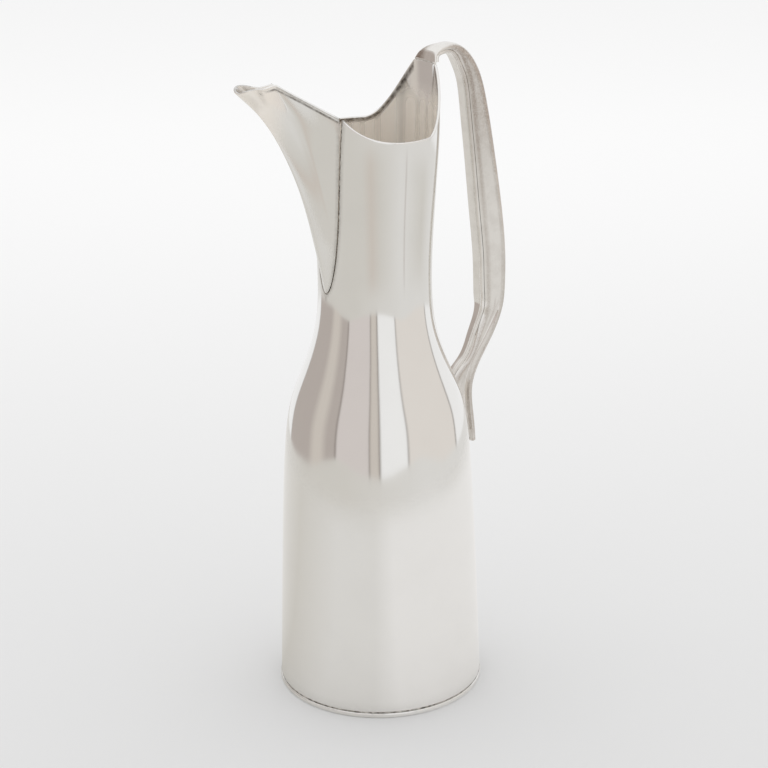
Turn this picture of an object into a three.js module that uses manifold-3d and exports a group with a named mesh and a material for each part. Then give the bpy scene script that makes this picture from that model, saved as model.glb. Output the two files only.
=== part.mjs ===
// Silver pitcher: a tall bottle-shaped jug raised from sheet, with an inset spout and a hollow handle.
// Millimetres, +Z up. The origin is the centre of the flat underside.
// The spout points to -X and the handle to +X.
import * as THREE from 'three';
import { mergeVertices } from 'three/addons/utils/BufferGeometryUtils.js';
import Module from 'manifold-3d';

const wasm = await Module();
wasm.setup();

// Sheet, solder and working clearance
const SHEET = 1.2; // wall of the body and the spout
const HANDLE_SHEET = 1.2; // wall of the hollow handle
const SOLDER = 0.6; // width of the solder that fills a joint
const CLEARANCE = 0.3; // left between neighbouring pieces
const JOINT = SOLDER + 2 * CLEARANCE; // whole width of a soldered joint

// Base plate
const BASE_RADIUS = 50;
const BASE_THICKNESS = 2.4;
const BASE_EDGE_ROUND = 0.6; // rounding of the plate's rim
const BASE_LEDGE = 0.4; // the plate's rim stands out this far beyond the body

// Body of revolution: outer radius at the heights where its outline turns
const BELLY_HEIGHT = 100;
const BELLY_RADIUS = 45.95;
const SHOULDER_HEIGHT = 128;
const SHOULDER_RADIUS = 44;
const SLOPE_HEIGHT = 164; // middle of the sloping shoulder
const SLOPE_RADIUS = 34.1;
const NECK_HEIGHT = 203; // narrowest place
const NECK_RADIUS = 26.8;
const RIM_HEIGHT = 276.4; // lowest place of the rim, at the sides
const RIM_RADIUS = 30.9;

// Rim: a raised tongue at the handle and a sweep up to the spout
const TONGUE_RISE = 33.1; // height above the rim that the tongue's edges aim for
const TONGUE_CUT = 5; // cut off flat this far below, where the handle is soldered on
const TONGUE_ANGLE = 66; // degrees from the handle to the foot of the tongue
const RIM_SWEEP = 10.6; // rise of the rim at the spout
const RIM_SWEEP_POWER = 3.8; // more keeps the sweep closer to the spout

// Spout: let into the front of the neck along a throat that narrows downwards
const THROAT_LENGTH = 84.5; // from the rim down to the throat's bottom
const THROAT_HALF_WIDTH = 17; // at the rim
const THROAT_POWER = 2.25; // more makes the throat's bottom rounder
const SPOUT_TIP_RISE = 15.6; // end of the keel above the rim at the seam
const SPOUT_PEAK_RISE = 0.6; // peak of the pouring edge above the end of the keel
const SPOUT_PEAK_PLACE = 0.5; // across the spout, 0 at the tip and 1 at the seam
const KEEL_REACH = 39; // the tip's distance in front of the neck
const KEEL_NOSE = 0.38; // bluntness of the spout's front low down, more is rounder
const BEAK_NOSE = 0.08; // bluntness at the top
const BEAK_HALF_WIDTH = 2.8; // between the peaks of the pouring edge
const PINCH_DEPTH = 60; // height over which the flanks are pinched towards each other
const PEAK_DEPTH = 14; // height over which they lean in at the peaks
const LIP_HALF_WIDTH = 7.2;
const LIP_DIP = 1.6; // front of the lip below the end of the keel
const LIP_DEPTH = 5; // height over which the lip turns out
const NOSE_BACKING = 1.8; // extra metal behind the nose

// Handle: the back line starts on the tongue, arches over and runs down to a tail on the body
const ARCH_RISE = 6.8; // top of the arch above the root
const ARCH_REACH = 12.7; // top of the arch beyond the root
const HANDLE_REACH = 73; // furthest point of the back from the axis
const HANDLE_REACH_HEIGHT = 205;
const BEND_DROP = 32; // from there down to where the back turns in towards the body
const BEND_INSET = 4.3; // back at the bend, inside the furthest point
const FOOT_DROP = 30; // from the bend down to where the tail starts to follow the body
const TAIL_LENGTH = 29; // from there down to the flat-cut end
const TAIL_STAND = 9.9; // back of the tail off the body
const TAIL_FLARE = 1.6; // more at the top of the tail
const ROOT_DEPTH = 3.3; // from the inner face to the back, at the root
const GRIP_DEPTH = 14.4;
const FOOT_DEPTH = 8.6; // where the handle comes in to the body
const ROOT_HALF_WIDTH = 8.4;
const ARCH_HALF_WIDTH = 4.9;
const GRIP_HALF_WIDTH = 5.2;
const TAIL_HALF_WIDTH = 6;
const INNER_HALF_WIDTH = 3.8; // inner face at the grip
const FOOT_INNER_HALF_WIDTH = 2.3; // inner face where it meets the body
const BACK_BAND = 4; // depth of the band along the back
const TAIL_WAIST = 3.8; // half-width behind the band, at the tail

// Fineness of the facets
const ROUND_STEPS = 60;
const SHOULDER_ROWS = 11;
const SPOUT_COLUMNS = 24;
const BEAK_COLUMNS = 44;
const SPOUT_ROWS = 16;
const ENVELOPE_ROWS = 24;
const ROOT_COLUMNS = 4;

// Natural cubic spline through [place, value] knots
function smoothLine(knots) {
  const count = knots.length;
  const bend = new Array(count).fill(0);
  const carry = new Array(count).fill(0);
  for (let i = 1; i < count - 1; i += 1) {
    const before = knots[i][0] - knots[i - 1][0];
    const after = knots[i + 1][0] - knots[i][0];
    const share = before / (before + after);
    const pivot = share * bend[i - 1] + 2;
    const riseAfter = (knots[i + 1][1] - knots[i][1]) / after;
    const riseBefore = (knots[i][1] - knots[i - 1][1]) / before;
    bend[i] = (share - 1) / pivot;
    carry[i] = (6 * (riseAfter - riseBefore) / (before + after) - share * carry[i - 1]) / pivot;
  }
  for (let i = count - 2; i >= 0; i -= 1) bend[i] = bend[i] * bend[i + 1] + carry[i];
  return (place) => {
    let i = 0;
    while (i < count - 2 && place > knots[i + 1][0]) i += 1;
    const width = knots[i + 1][0] - knots[i][0];
    const right = (place - knots[i][0]) / width;
    const left = 1 - right;
    const straight = left * knots[i][1] + right * knots[i + 1][1];
    const curved = (left ** 3 - left) * bend[i] + (right ** 3 - right) * bend[i + 1];
    return straight + curved * width * width / 6;
  };
}

// Signed volume of an indexed or loose triangle geometry
function signedVolume(geometry) {
  const place = geometry.getAttribute('position');
  const index = geometry.index;
  const corners = [new THREE.Vector3(), new THREE.Vector3(), new THREE.Vector3()];
  let total = 0;
  for (let i = 0; i < index.count; i += 3) {
    corners.forEach((corner, k) => corner.fromBufferAttribute(place, index.getX(i + k)));
    total += corners[0].dot(corners[1].cross(corners[2])) / 6;
  }
  return total;
}

// Shared vertices merged, needle triangles dropped and faces turned outwards
function closedGeometry(positions, triangles) {
  const raw = new THREE.BufferGeometry();
  raw.setAttribute('position', new THREE.Float32BufferAttribute(positions, 3));
  raw.setIndex(triangles);
  const merged = mergeVertices(raw, 1e-4);
  const kept = [];
  for (let i = 0; i < merged.index.count; i += 3) {
    const [a, b, c] = [0, 1, 2].map((k) => merged.index.getX(i + k));
    if (a !== b && b !== c && c !== a) kept.push(a, b, c);
  }
  merged.setIndex(kept);
  if (signedVolume(merged) < 0) {
    for (let i = 0; i < kept.length; i += 3) [kept[i + 1], kept[i + 2]] = [kept[i + 2], kept[i + 1]];
    merged.setIndex(kept);
  }
  return merged;
}

// Skin over rings of points; the rings close on themselves, and the loft too or else it gets two caps
function loft(rings, isLoop, capTriangles = []) {
  const size = rings[0].length;
  const triangles = [];
  const lastRing = isLoop ? rings.length : rings.length - 1;
  for (let r = 0; r < lastRing; r += 1) {
    const here = r * size;
    const next = ((r + 1) % rings.length) * size;
    for (let i = 0; i < size; i += 1) {
      const j = (i + 1) % size;
      triangles.push(here + i, here + j, next + j, here + i, next + j, next + i);
    }
  }
  const lastStart = (rings.length - 1) * size;
  for (const [a, b, c] of isLoop ? [] : capTriangles) {
    triangles.push(a, c, b, lastStart + a, lastStart + b, lastStart + c);
  }
  return closedGeometry(rings.flat().flatMap((p) => [p.x, p.y, p.z]), triangles);
}

// Cap of a ring made of an outer line and the same line coming back inside it
function ribbonCap(size) {
  const triangles = [];
  for (let i = 0; i < size / 2 - 1; i += 1) {
    const k = size - 1 - i;
    triangles.push([i, i + 1, k - 1], [i, k - 1, k]);
  }
  return triangles;
}

// Ring or disc turned about the Z axis from a closed [radius, height] outline
function turned(outline) {
  const points = [...outline, outline[0]].map(([radius, height]) => new THREE.Vector2(radius, height));
  const lathe = new THREE.LatheGeometry(points, ROUND_STEPS);
  lathe.rotateX(Math.PI / 2);
  return closedGeometry(Array.from(lathe.getAttribute('position').array), Array.from(lathe.index.array));
}

// Solids for cutting and joining
function toSolid(geometry) {
  return new wasm.Manifold(new wasm.Mesh({
    numProp: 3,
    vertProperties: new Float32Array(geometry.getAttribute('position').array),
    triVerts: new Uint32Array(geometry.index.array),
  }));
}

function toGeometry(solid) {
  const mesh = solid.getMesh();
  return closedGeometry(Array.from(mesh.vertProperties), Array.from(mesh.triVerts));
}

// Places that follow from the sizes
const degrees = THREE.MathUtils.degToRad;
const mix = THREE.MathUtils.lerp;
const bodyBottom = BASE_THICKNESS + JOINT;
const footRadius = BASE_RADIUS - BASE_LEDGE;
const tongueCrest = RIM_HEIGHT + TONGUE_RISE;
const tongueTop = tongueCrest - TONGUE_CUT;
const throatTop = RIM_HEIGHT + RIM_SWEEP;
const throatBottom = throatTop - THROAT_LENGTH;
const tipHeight = throatTop + SPOUT_TIP_RISE;
const peakHeight = tipHeight + SPOUT_PEAK_RISE;

// Outer radius of the body at a height
const bodyRadius = smoothLine([
  [bodyBottom, footRadius],
  [BELLY_HEIGHT, BELLY_RADIUS],
  [SHOULDER_HEIGHT, SHOULDER_RADIUS],
  [mix(SHOULDER_HEIGHT, SLOPE_HEIGHT, 0.5), mix(SHOULDER_RADIUS, SLOPE_RADIUS, 0.32)],
  [SLOPE_HEIGHT, SLOPE_RADIUS],
  [mix(SLOPE_HEIGHT, NECK_HEIGHT, 0.49), mix(SLOPE_RADIUS, NECK_RADIUS, 0.78)],
  [NECK_HEIGHT, NECK_RADIUS],
  [mix(NECK_HEIGHT, RIM_HEIGHT, 0.46), mix(NECK_RADIUS, RIM_RADIUS, 0.34)],
  [RIM_HEIGHT, RIM_RADIUS],
  [tongueCrest, RIM_RADIUS],
]);

// Height of the rim at an angle from the handle
function rimHeight(angle) {
  const tongueReach = degrees(TONGUE_ANGLE);
  if (angle < tongueReach) {
    const lobe = 0.5 + 0.5 * Math.cos(Math.PI * angle / tongueReach);
    return Math.min(mix(RIM_HEIGHT, tongueCrest, lobe), tongueTop);
  }
  const throatAngle = Math.PI - Math.asin(THROAT_HALF_WIDTH / RIM_RADIUS);
  const sweep = Math.min((angle - tongueReach) / (throatAngle - tongueReach), 1);
  return RIM_HEIGHT + RIM_SWEEP * sweep ** RIM_SWEEP_POWER;
}

// Half of the throat's width at a height
function throatWidth(height) {
  const share = Math.max((height - throatBottom) / THROAT_LENGTH, 0);
  return THROAT_HALF_WIDTH * share ** (1 / THROAT_POWER);
}

// Point of the throat's edge in the front view, moved square to the edge into the throat
function throatEdge(place, shift = 0) {
  const height = throatBottom + THROAT_LENGTH * Math.abs(place) ** THROAT_POWER;
  const steep = THROAT_LENGTH * THROAT_POWER * Math.abs(place) ** (THROAT_POWER - 1);
  const square = new THREE.Vector2(-Math.sign(place) * steep, THROAT_HALF_WIDTH).setLength(shift);
  return square.add(new THREE.Vector2(place * THROAT_HALF_WIDTH, height));
}

// Point on the neck's outer surface, in front
function neckPoint(y, height, inset = 0) {
  const radius = bodyRadius(height) - inset;
  return new THREE.Vector3(-Math.sqrt(radius * radius - y * y), y, height);
}

// Body shell: one closed column of wall at each angle, stretched up to the rim, then the throat is cut out
function bodyShell() {
  const heights = [bodyBottom, mix(bodyBottom, BELLY_HEIGHT, 0.35), mix(bodyBottom, BELLY_HEIGHT, 0.7)];
  for (let row = 0; row <= SHOULDER_ROWS; row += 1) {
    heights.push(mix(BELLY_HEIGHT, NECK_HEIGHT, row / SHOULDER_ROWS));
  }
  const stretchRows = [0.2, 0.4, 0.6, 0.7, 0.8, 0.9, 1];
  const columns = [];
  for (let step = 0; step < ROUND_STEPS; step += 1) {
    const turn = 2 * Math.PI * step / ROUND_STEPS;
    const fromHandle = Math.min(turn, 2 * Math.PI - turn);
    const rim = rimHeight(fromHandle);
    const levels = [...heights, ...stretchRows.map((share) => mix(NECK_HEIGHT, rim, share))];
    const wall = (inset) => levels.map((height) => {
      const radius = bodyRadius(height) - inset;
      return new THREE.Vector3(radius * Math.cos(turn), radius * Math.sin(turn), height);
    });
    columns.push([...wall(0), ...wall(SHEET).reverse()]);
  }
  const throatOutline = [new THREE.Vector2(-THROAT_HALF_WIDTH, tongueCrest)];
  for (let i = -SPOUT_COLUMNS; i <= SPOUT_COLUMNS; i += 1) throatOutline.push(throatEdge(i / SPOUT_COLUMNS));
  throatOutline.push(new THREE.Vector2(THROAT_HALF_WIDTH, tongueCrest));
  const throat = new THREE.Shape(throatOutline);
  const cutter = new THREE.ExtrudeGeometry(throat, { depth: BASE_RADIUS, bevelEnabled: false });
  cutter.rotateX(Math.PI / 2);
  cutter.rotateZ(-Math.PI / 2);
  const positions = Array.from(cutter.getAttribute('position').array);
  const triangles = positions.map((_, i) => i).slice(0, positions.length / 3);
  return toGeometry(toSolid(loft(columns, true)).subtract(toSolid(closedGeometry(positions, triangles))));
}

// Spout before it is pinched: horizontal slices are V shapes whose nose sharpens upwards
const keelReach = smoothLine([
  [throatBottom, 0],
  [mix(throatBottom, tipHeight, 0.25), KEEL_REACH * 0.115],
  [mix(throatBottom, tipHeight, 0.5), KEEL_REACH * 0.245],
  [mix(throatBottom, tipHeight, 0.7), KEEL_REACH * 0.43],
  [mix(throatBottom, tipHeight, 0.86), KEEL_REACH * 0.672],
  [tipHeight, KEEL_REACH],
]);
const smoothStep = THREE.MathUtils.smoothstep;
const behindPeak = (place) => Math.max(Math.abs(place) - SPOUT_PEAK_PLACE, 0) / (1 - SPOUT_PEAK_PLACE);

function plainSpout(place, share) {
  const seamEdge = throatEdge(place, JOINT);
  const y = seamEdge.x;
  const crest = mix(tipHeight, peakHeight, smoothStep(Math.abs(place), 0, SPOUT_PEAK_PLACE));
  const height = mix(seamEdge.y, mix(crest, throatTop, behindPeak(place)), share);
  const width = Math.max(throatWidth(height) - JOINT, Math.abs(y), SHEET);
  const sharpening = smoothStep(height, mix(throatBottom, tipHeight, 0.22), mix(throatBottom, tipHeight, 0.82));
  const nose = mix(KEEL_NOSE, BEAK_NOSE, sharpening);
  const blunt = (value) => Math.hypot(nose, value) - nose;
  const keel = -(bodyRadius(height) + keelReach(height));
  return new THREE.Vector3(mix(keel, neckPoint(width, height).x, blunt(Math.abs(y) / width) / blunt(1)), y, height);
}

// Pouring edge: round the lip to the peak, then straight to the seam.
// Each knot has its place, its share of the keel's reach, of the lip's half-width and of the lip's dip.
const seamEnd = plainSpout(1, 1);
const peakReach = 0.533;
const lipKnots = [
  [0, 0.974, 0, -1],
  [0.05, 0.977, 0.36, -0.69],
  [0.1, 0.956, 0.67, -0.125],
  [0.15, 0.91, 0.92, 0.44],
  [0.2, 0.844, 1, 0.81],
  [0.26, 0.795, 0.81, 0.625],
  [0.31, 0.759, 0.6, 0.25],
  [0.38, 0.695, 0.445, -0.125],
  [0.44, 0.618, BEAK_HALF_WIDTH / LIP_HALF_WIDTH, 0.06],
  [SPOUT_PEAK_PLACE, peakReach, BEAK_HALF_WIDTH / LIP_HALF_WIDTH, SPOUT_PEAK_RISE / LIP_DIP],
];
const lipReach = smoothLine(lipKnots.map(([place, reach]) => [place, RIM_RADIUS + KEEL_REACH * reach]));
const lipWidth = smoothLine(lipKnots.map(([place, , width]) => [place, LIP_HALF_WIDTH * width]));
const lipHeight = smoothLine(lipKnots.map(([place, , , rise]) => [place, tipHeight + LIP_DIP * rise]));

function pouringEdge(place) {
  const front = Math.min(Math.abs(place), SPOUT_PEAK_PLACE);
  const behind = behindPeak(place);
  const y = mix(lipWidth(front), Math.abs(seamEnd.y), behind);
  const height = mix(lipHeight(front), seamEnd.z, behind);
  return new THREE.Vector3(mix(-lipReach(front), seamEnd.x, behind), Math.sign(place) * y, height);
}

// Half-width of the hollow-flanked beak at the top
const beakWidth = smoothLine([
  [0, 0],
  [0.1, 0.07],
  [0.2, 0.139],
  [0.3, 0.19],
  [0.4, 0.228],
  [0.5, 0.285],
  [0.62, 0.437],
  [0.8, 0.703],
  [1, 1],
].map(([place, width]) => [place, Math.abs(seamEnd.y) * width]));

// Spout surface: flanks pinched towards the top, and a lip pressed out at the front
function spoutPoint(place, share) {
  const base = plainSpout(place, share);
  const top = plainSpout(place, 1);
  const drop = top.z - base.z;
  const length = top.z - plainSpout(place, 0).z;
  const back = smoothStep(Math.abs(place), 0.3, 0.45);
  const fade = (depth, power) => Math.max(1 - drop / Math.min(depth, length), 0) ** power;
  const beak = new THREE.Vector3(top.x, Math.sign(place) * beakWidth(Math.abs(place)), top.z);
  const pinch = beak.clone().sub(top).multiplyScalar(fade(PINCH_DEPTH, 1.1));
  const flare = pouringEdge(place).sub(beak).multiplyScalar(fade(mix(LIP_DEPTH, PEAK_DEPTH, back), mix(2, 1.25, back)));
  return base.add(pinch).add(flare);
}

// Inner side of the sheet: moved level and square to the surface, less where the beak is narrow
function spoutInside(place, share) {
  const step = 1e-3;
  const across = spoutPoint(place + step, share).sub(spoutPoint(place - step, share));
  const inward = new THREE.Vector2(-across.y, across.x).normalize().multiplyScalar(-SHEET);
  const point = spoutPoint(place, share);
  const half = Math.abs(point.y);
  const backing = NOSE_BACKING * (1 - smoothStep(half, 0, 3));
  const aside = Math.min(Math.max(inward.y, -0.55 * half), 0.55 * half);
  return new THREE.Vector3(point.x + inward.x + backing, point.y + aside, point.z);
}

function spout() {
  const rings = [];
  const lastPlace = 0.985; // short of the rim, where a column would have no length
  const crowding = 1.3; // more columns near the keel
  const places = [];
  for (let i = 0; i <= BEAK_COLUMNS; i += 1) {
    const spread = 2 * i / BEAK_COLUMNS - 1;
    places.push(lastPlace * Math.sign(spread) * Math.abs(spread) ** crowding);
  }
  for (let row = 0; row <= SPOUT_ROWS; row += 1) {
    const share = 1 - (1 - row / SPOUT_ROWS) ** 2;
    const outside = places.map((place) => spoutPoint(place, share));
    const inside = places.map((place) => spoutInside(place, share));
    rings.push([...outside, ...inside.reverse()]);
  }
  return loft(rings, false, ribbonCap(rings[0].length));
}

// Base plate with a rounded rim, and the ring of solder between it and the body
function basePlate() {
  const inner = BASE_RADIUS - BASE_EDGE_ROUND;
  return turned([
    [0, 0],
    [inner, 0],
    [BASE_RADIUS, BASE_EDGE_ROUND],
    [BASE_RADIUS, BASE_THICKNESS - BASE_EDGE_ROUND],
    [inner, BASE_THICKNESS],
    [0, BASE_THICKNESS],
  ]);
}

function baseSolder() {
  const low = BASE_THICKNESS + CLEARANCE;
  const inside = footRadius - SHEET;
  return turned([[inside, low], [footRadius, low], [footRadius, low + SOLDER], [inside, low + SOLDER]]);
}

// Strip of solder along the throat, in the thickness of the wall
function spoutSolder() {
  const rings = [];
  for (let i = -SPOUT_COLUMNS; i <= SPOUT_COLUMNS; i += 1) {
    const corner = (shift, inset) => {
      const edge = throatEdge(i / SPOUT_COLUMNS, shift);
      return neckPoint(edge.x, edge.y, inset);
    };
    const near = CLEARANCE;
    const far = CLEARANCE + SOLDER;
    rings.push([corner(near, 0), corner(far, 0), corner(far, SHEET), corner(near, SHEET)]);
  }
  return loft(rings, false, [[0, 1, 2], [0, 2, 3]]);
}

// Handle: stations along the back, with its place, depth and half-widths
const rootX = bodyRadius(tongueTop) - SHEET;
const rootZ = tongueTop + JOINT;
const bendX = HANDLE_REACH - BEND_INSET;
const bendHeight = HANDLE_REACH_HEIGHT - BEND_DROP;
const tailTopHeight = bendHeight - FOOT_DROP;
const tailEndHeight = tailTopHeight - TAIL_LENGTH;
const station = (x, z, depth, inner, waist, outer) => ({ x, z, depth, inner, waist, outer });

// On the arch, places are shares of its reach and rise
function archStation(reachShare, riseShare, depthShare, widthShare) {
  const outer = mix(ROOT_HALF_WIDTH, ARCH_HALF_WIDTH, widthShare);
  const inner = mix(ROOT_HALF_WIDTH, INNER_HALF_WIDTH, widthShare);
  const depth = mix(ROOT_DEPTH, GRIP_DEPTH, depthShare);
  const x = rootX + ARCH_REACH * reachShare;
  const z = rootZ + ARCH_RISE * riseShare;
  return station(x, z, depth, inner, outer * 0.97, outer);
}

// From the arch to the furthest reach of the back
const archEnd = archStation(2.5, -3.15, 0.7, 1);
const gripWaist = GRIP_HALF_WIDTH * 0.96;

function gripStation(across, down, depthShare) {
  const x = mix(archEnd.x, HANDLE_REACH, across);
  const z = mix(archEnd.z, HANDLE_REACH_HEIGHT, down);
  return station(x, z, GRIP_DEPTH * depthShare, INNER_HALF_WIDTH, gripWaist, GRIP_HALF_WIDTH);
}

// From the furthest reach to the bend
function bendStation(inset, down) {
  const x = HANDLE_REACH - BEND_INSET * inset;
  const z = mix(HANDLE_REACH_HEIGHT, bendHeight, down);
  return station(x, z, GRIP_DEPTH * 0.96, INNER_HALF_WIDTH, gripWaist, GRIP_HALF_WIDTH);
}

// On the tail, the back stands off the body and the depth goes through to its wall
function tailStation(down, flare) {
  const z = mix(tailTopHeight, tailEndHeight, down);
  const stand = TAIL_STAND + TAIL_FLARE * flare;
  const x = bodyRadius(z) + stand;
  return station(x, z, stand + SHEET, FOOT_INNER_HALF_WIDTH, TAIL_WAIST, TAIL_HALF_WIDTH);
}

// From the bend in to the tail
const tailTop = tailStation(0, 1);

function footStation(across, down, share) {
  const x = mix(bendX, tailTop.x, across);
  const z = mix(bendHeight, tailTopHeight, down);
  const depth = mix(GRIP_DEPTH, FOOT_DEPTH, share);
  const inner = mix(INNER_HALF_WIDTH, FOOT_INNER_HALF_WIDTH, share);
  const waist = mix(gripWaist, TAIL_WAIST, share);
  return station(x, z, depth, inner, waist, mix(GRIP_HALF_WIDTH, TAIL_HALF_WIDTH, share));
}

const archStations = [
  archStation(0, 0, 0, 0),
  archStation(0.06, 0.43, 0, 0.25),
  archStation(0.32, 0.82, 0, 0.65),
  archStation(0.67, 0.96, 0.03, 0.9),
  archStation(1, 1, 0.13, 1),
  archStation(1.39, 0.75, 0.28, 1),
  archStation(1.76, 0.15, 0.42, 1),
  archStation(2.13, -0.92, 0.53, 1),
  archEnd,
];
const gripStations = [gripStation(0.43, 0.34, 0.9), gripStation(0.78, 0.66, 1), gripStation(1, 1, 1)];
const bendStations = [bendStation(0.02, 0.4), bendStation(0.28, 0.75)];
const footStations = [footStation(0, 0, 0.55), footStation(0.42, 0.38, 0.85), footStation(0.8, 0.7, 1)];
const tailStations = [tailTop, tailStation(0.27, 0), tailStation(0.6, 0), tailStation(1, 0)];
const stations = [...archStations, ...gripStations, ...bendStations, ...footStations, ...tailStations];

// Smooth lines through the stations, by the distance along the back
const travel = [0];
for (let i = 1; i < stations.length; i += 1) {
  const step = Math.hypot(stations[i].x - stations[i - 1].x, stations[i].z - stations[i - 1].z);
  travel.push(travel[i - 1] + step);
}
const backLength = travel[travel.length - 1];
const alongBack = {};
for (const field of ['x', 'z', 'depth', 'inner', 'waist', 'outer']) {
  alongBack[field] = smoothLine(stations.map((item, i) => [travel[i], item[field]]));
}

// Handle section at a distance along the back: maps depth and width to a point in space
function handleSection(distance) {
  const at = (field, shift = 0) => alongBack[field](distance + shift);
  const step = 0.05;
  const along = new THREE.Vector2(at('x', step) - at('x', -step), at('z', step) - at('z', -step)).normalize();
  const upright = new THREE.Vector2(0, 1); // the root stands square on the tongue
  along.lerp(upright, Math.max(1 - distance / travel[1], 0)).normalize();
  const curlEnd = travel[3]; // and its section is curved like the tongue up to here
  const rootCurl = Math.max(1 - distance / curlEnd, 0) / (2 * bodyRadius(tongueTop));
  const toSpace = ([depth, width]) => new THREE.Vector3(
    at('x') + along.y * depth - rootCurl * width * width,
    width,
    at('z') - along.x * depth,
  );
  return { depth: at('depth'), inner: at('inner'), waist: at('waist'), outer: at('outer'), toSpace };
}

// Half of the channel's outline, from its open edge round to the middle of the back
function channelHalf(section, openDepth, wall) {
  const band = Math.min(BACK_BAND, openDepth * 0.75);
  const outline = [
    [openDepth, section.inner],
    [mix(openDepth, band, 0.5), mix(section.inner, section.waist, 0.6)],
    [band, section.waist],
    [band * 0.75, section.outer],
    [band * 0.3, section.outer * 0.93],
    [band * 0.06, section.outer * 0.6],
    [0, 0],
  ];
  const narrowed = (width) => Math.max(width - wall, width * 0.3);
  return outline.map(([depth, width]) => [wall + depth * (openDepth - wall) / openDepth, narrowed(width)]);
}

const mirrored = (half) => [...half, ...half.slice(0, -1).reverse().map(([depth, width]) => [depth, -width])];

// Distances of the handle's rings between two places on the back
function ringDistances(from, to) {
  const middle = [];
  for (let i = 1; i < travel.length; i += 1) middle.push(mix(travel[i - 1], travel[i], 0.5), travel[i]);
  return [from, ...middle.filter((distance) => distance > from + 1 && distance < to - 1), to];
}

const channelOpen = (section) => section.depth - HANDLE_SHEET - CLEARANCE;
const shellEnd = backLength - HANDLE_SHEET - CLEARANCE;

// The body with room for the solder round it, which trims the handle's lower end
function bodyEnvelope(gap) {
  const low = tailEndHeight - TAIL_STAND;
  const outline = [[0, low]];
  for (let row = 0; row <= ENVELOPE_ROWS; row += 1) {
    const height = mix(low, bendHeight, row / ENVELOPE_ROWS);
    outline.push([bodyRadius(height) + gap, height]);
  }
  outline.push([0, bendHeight]);
  return toSolid(turned(outline));
}

const trimmed = (geometry) => toGeometry(toSolid(geometry).subtract(bodyEnvelope(JOINT)));

function handleShell() {
  const rings = ringDistances(0, shellEnd).map((distance) => {
    const section = handleSection(distance);
    const open = channelOpen(section);
    const outside = mirrored(channelHalf(section, open, 0));
    const inside = mirrored(channelHalf(section, open, HANDLE_SHEET)).reverse();
    return [...outside, ...inside].map(section.toSpace);
  });
  return trimmed(loft(rings, false, ribbonCap(rings[0].length)));
}

function handlePlate() {
  const rings = ringDistances(0, shellEnd).map((distance) => {
    const section = handleSection(distance);
    const { depth, inner, toSpace } = section;
    const widths = [-inner, -inner / 2, 0, inner / 2, inner];
    const hidden = widths.map((width) => [depth - HANDLE_SHEET, width]);
    const shown = widths.map((width) => [depth, width]);
    return [...hidden, ...shown.reverse()].map(toSpace);
  });
  return trimmed(loft(rings, false, ribbonCap(rings[0].length)));
}

// Closed outline of the handle, filled, with a wall's thickness taken off all round
function handleBlock(from, to, wall) {
  const outlineAt = (section) => mirrored(channelHalf(section, section.depth - wall, wall));
  const flat = outlineAt(handleSection(from)).map(([depth, width]) => new THREE.Vector2(depth, width));
  const cap = THREE.ShapeUtils.triangulateShape(flat, []);
  const rings = ringDistances(from, to).map((distance) => {
    const section = handleSection(distance);
    return outlineAt(section).map(section.toSpace);
  });
  return loft(rings, false, cap);
}

function tailCap() {
  return trimmed(handleBlock(backLength - HANDLE_SHEET, backLength, 0));
}

// Solder where the handle comes down on the body, in the gap that the trimming left
function footSolder() {
  const from = travel[stations.indexOf(footStations[0])];
  const outside = toSolid(handleBlock(from, shellEnd, 0));
  const hollow = toSolid(handleBlock(from - HANDLE_SHEET, shellEnd - HANDLE_SHEET, HANDLE_SHEET));
  const layer = bodyEnvelope(CLEARANCE + SOLDER).subtract(bodyEnvelope(CLEARANCE));
  return toGeometry(outside.subtract(hollow).intersect(layer));
}

// Solder between the tongue and the handle's root, on the curve of the neck
function rootSolder() {
  const low = tongueTop + CLEARANCE;
  const high = low + SOLDER;
  const outside = bodyRadius(tongueTop);
  const inside = outside - SHEET;
  const rings = [];
  for (let i = -ROOT_COLUMNS; i <= ROOT_COLUMNS; i += 1) {
    const y = ROOT_HALF_WIDTH * i / ROOT_COLUMNS;
    const corner = (radius, height) => new THREE.Vector3(Math.sqrt(radius * radius - y * y), y, height);
    rings.push([corner(inside, low), corner(outside, low), corner(outside, high), corner(inside, high)]);
  }
  return loft(rings, false, [[0, 1, 2], [0, 2, 3]]);
}

const silver = { colour: 0xd6d5d1, roughness: 0.16 };
const handleSilver = { colour: 0xcac3ba, roughness: 0.22 };
const solder = { colour: 0x9a948b, roughness: 0.45 };

function piece(name, geometry, look) {
  geometry.computeVertexNormals();
  const { colour, roughness } = look;
  const material = new THREE.MeshStandardMaterial({ color: colour, roughness, metalness: 1 });
  const mesh = new THREE.Mesh(geometry, material);
  mesh.name = name;
  return mesh;
}

const pitcher = new THREE.Group();
pitcher.add(piece('base_plate', basePlate(), silver));
pitcher.add(piece('base_solder_seam', baseSolder(), solder));
pitcher.add(piece('body_shell', bodyShell(), silver));
pitcher.add(piece('spout', spout(), silver));
pitcher.add(piece('spout_solder_seam', spoutSolder(), solder));
pitcher.add(piece('handle_root_solder', rootSolder(), solder));
pitcher.add(piece('handle_channel', handleShell(), handleSilver));
pitcher.add(piece('handle_inner_plate', handlePlate(), handleSilver));
pitcher.add(piece('handle_tail_cap', tailCap(), handleSilver));
pitcher.add(piece('handle_foot_solder', footSolder(), solder));

export default pitcher;
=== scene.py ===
"""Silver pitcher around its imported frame: smooth silver shells, soldered seams, studio and camera."""
import logging
import math
from collections.abc import Callable, Sequence
from dataclasses import dataclass, field
from enum import Enum

import bpy
from mathutils import Matrix, Vector, noise


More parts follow.
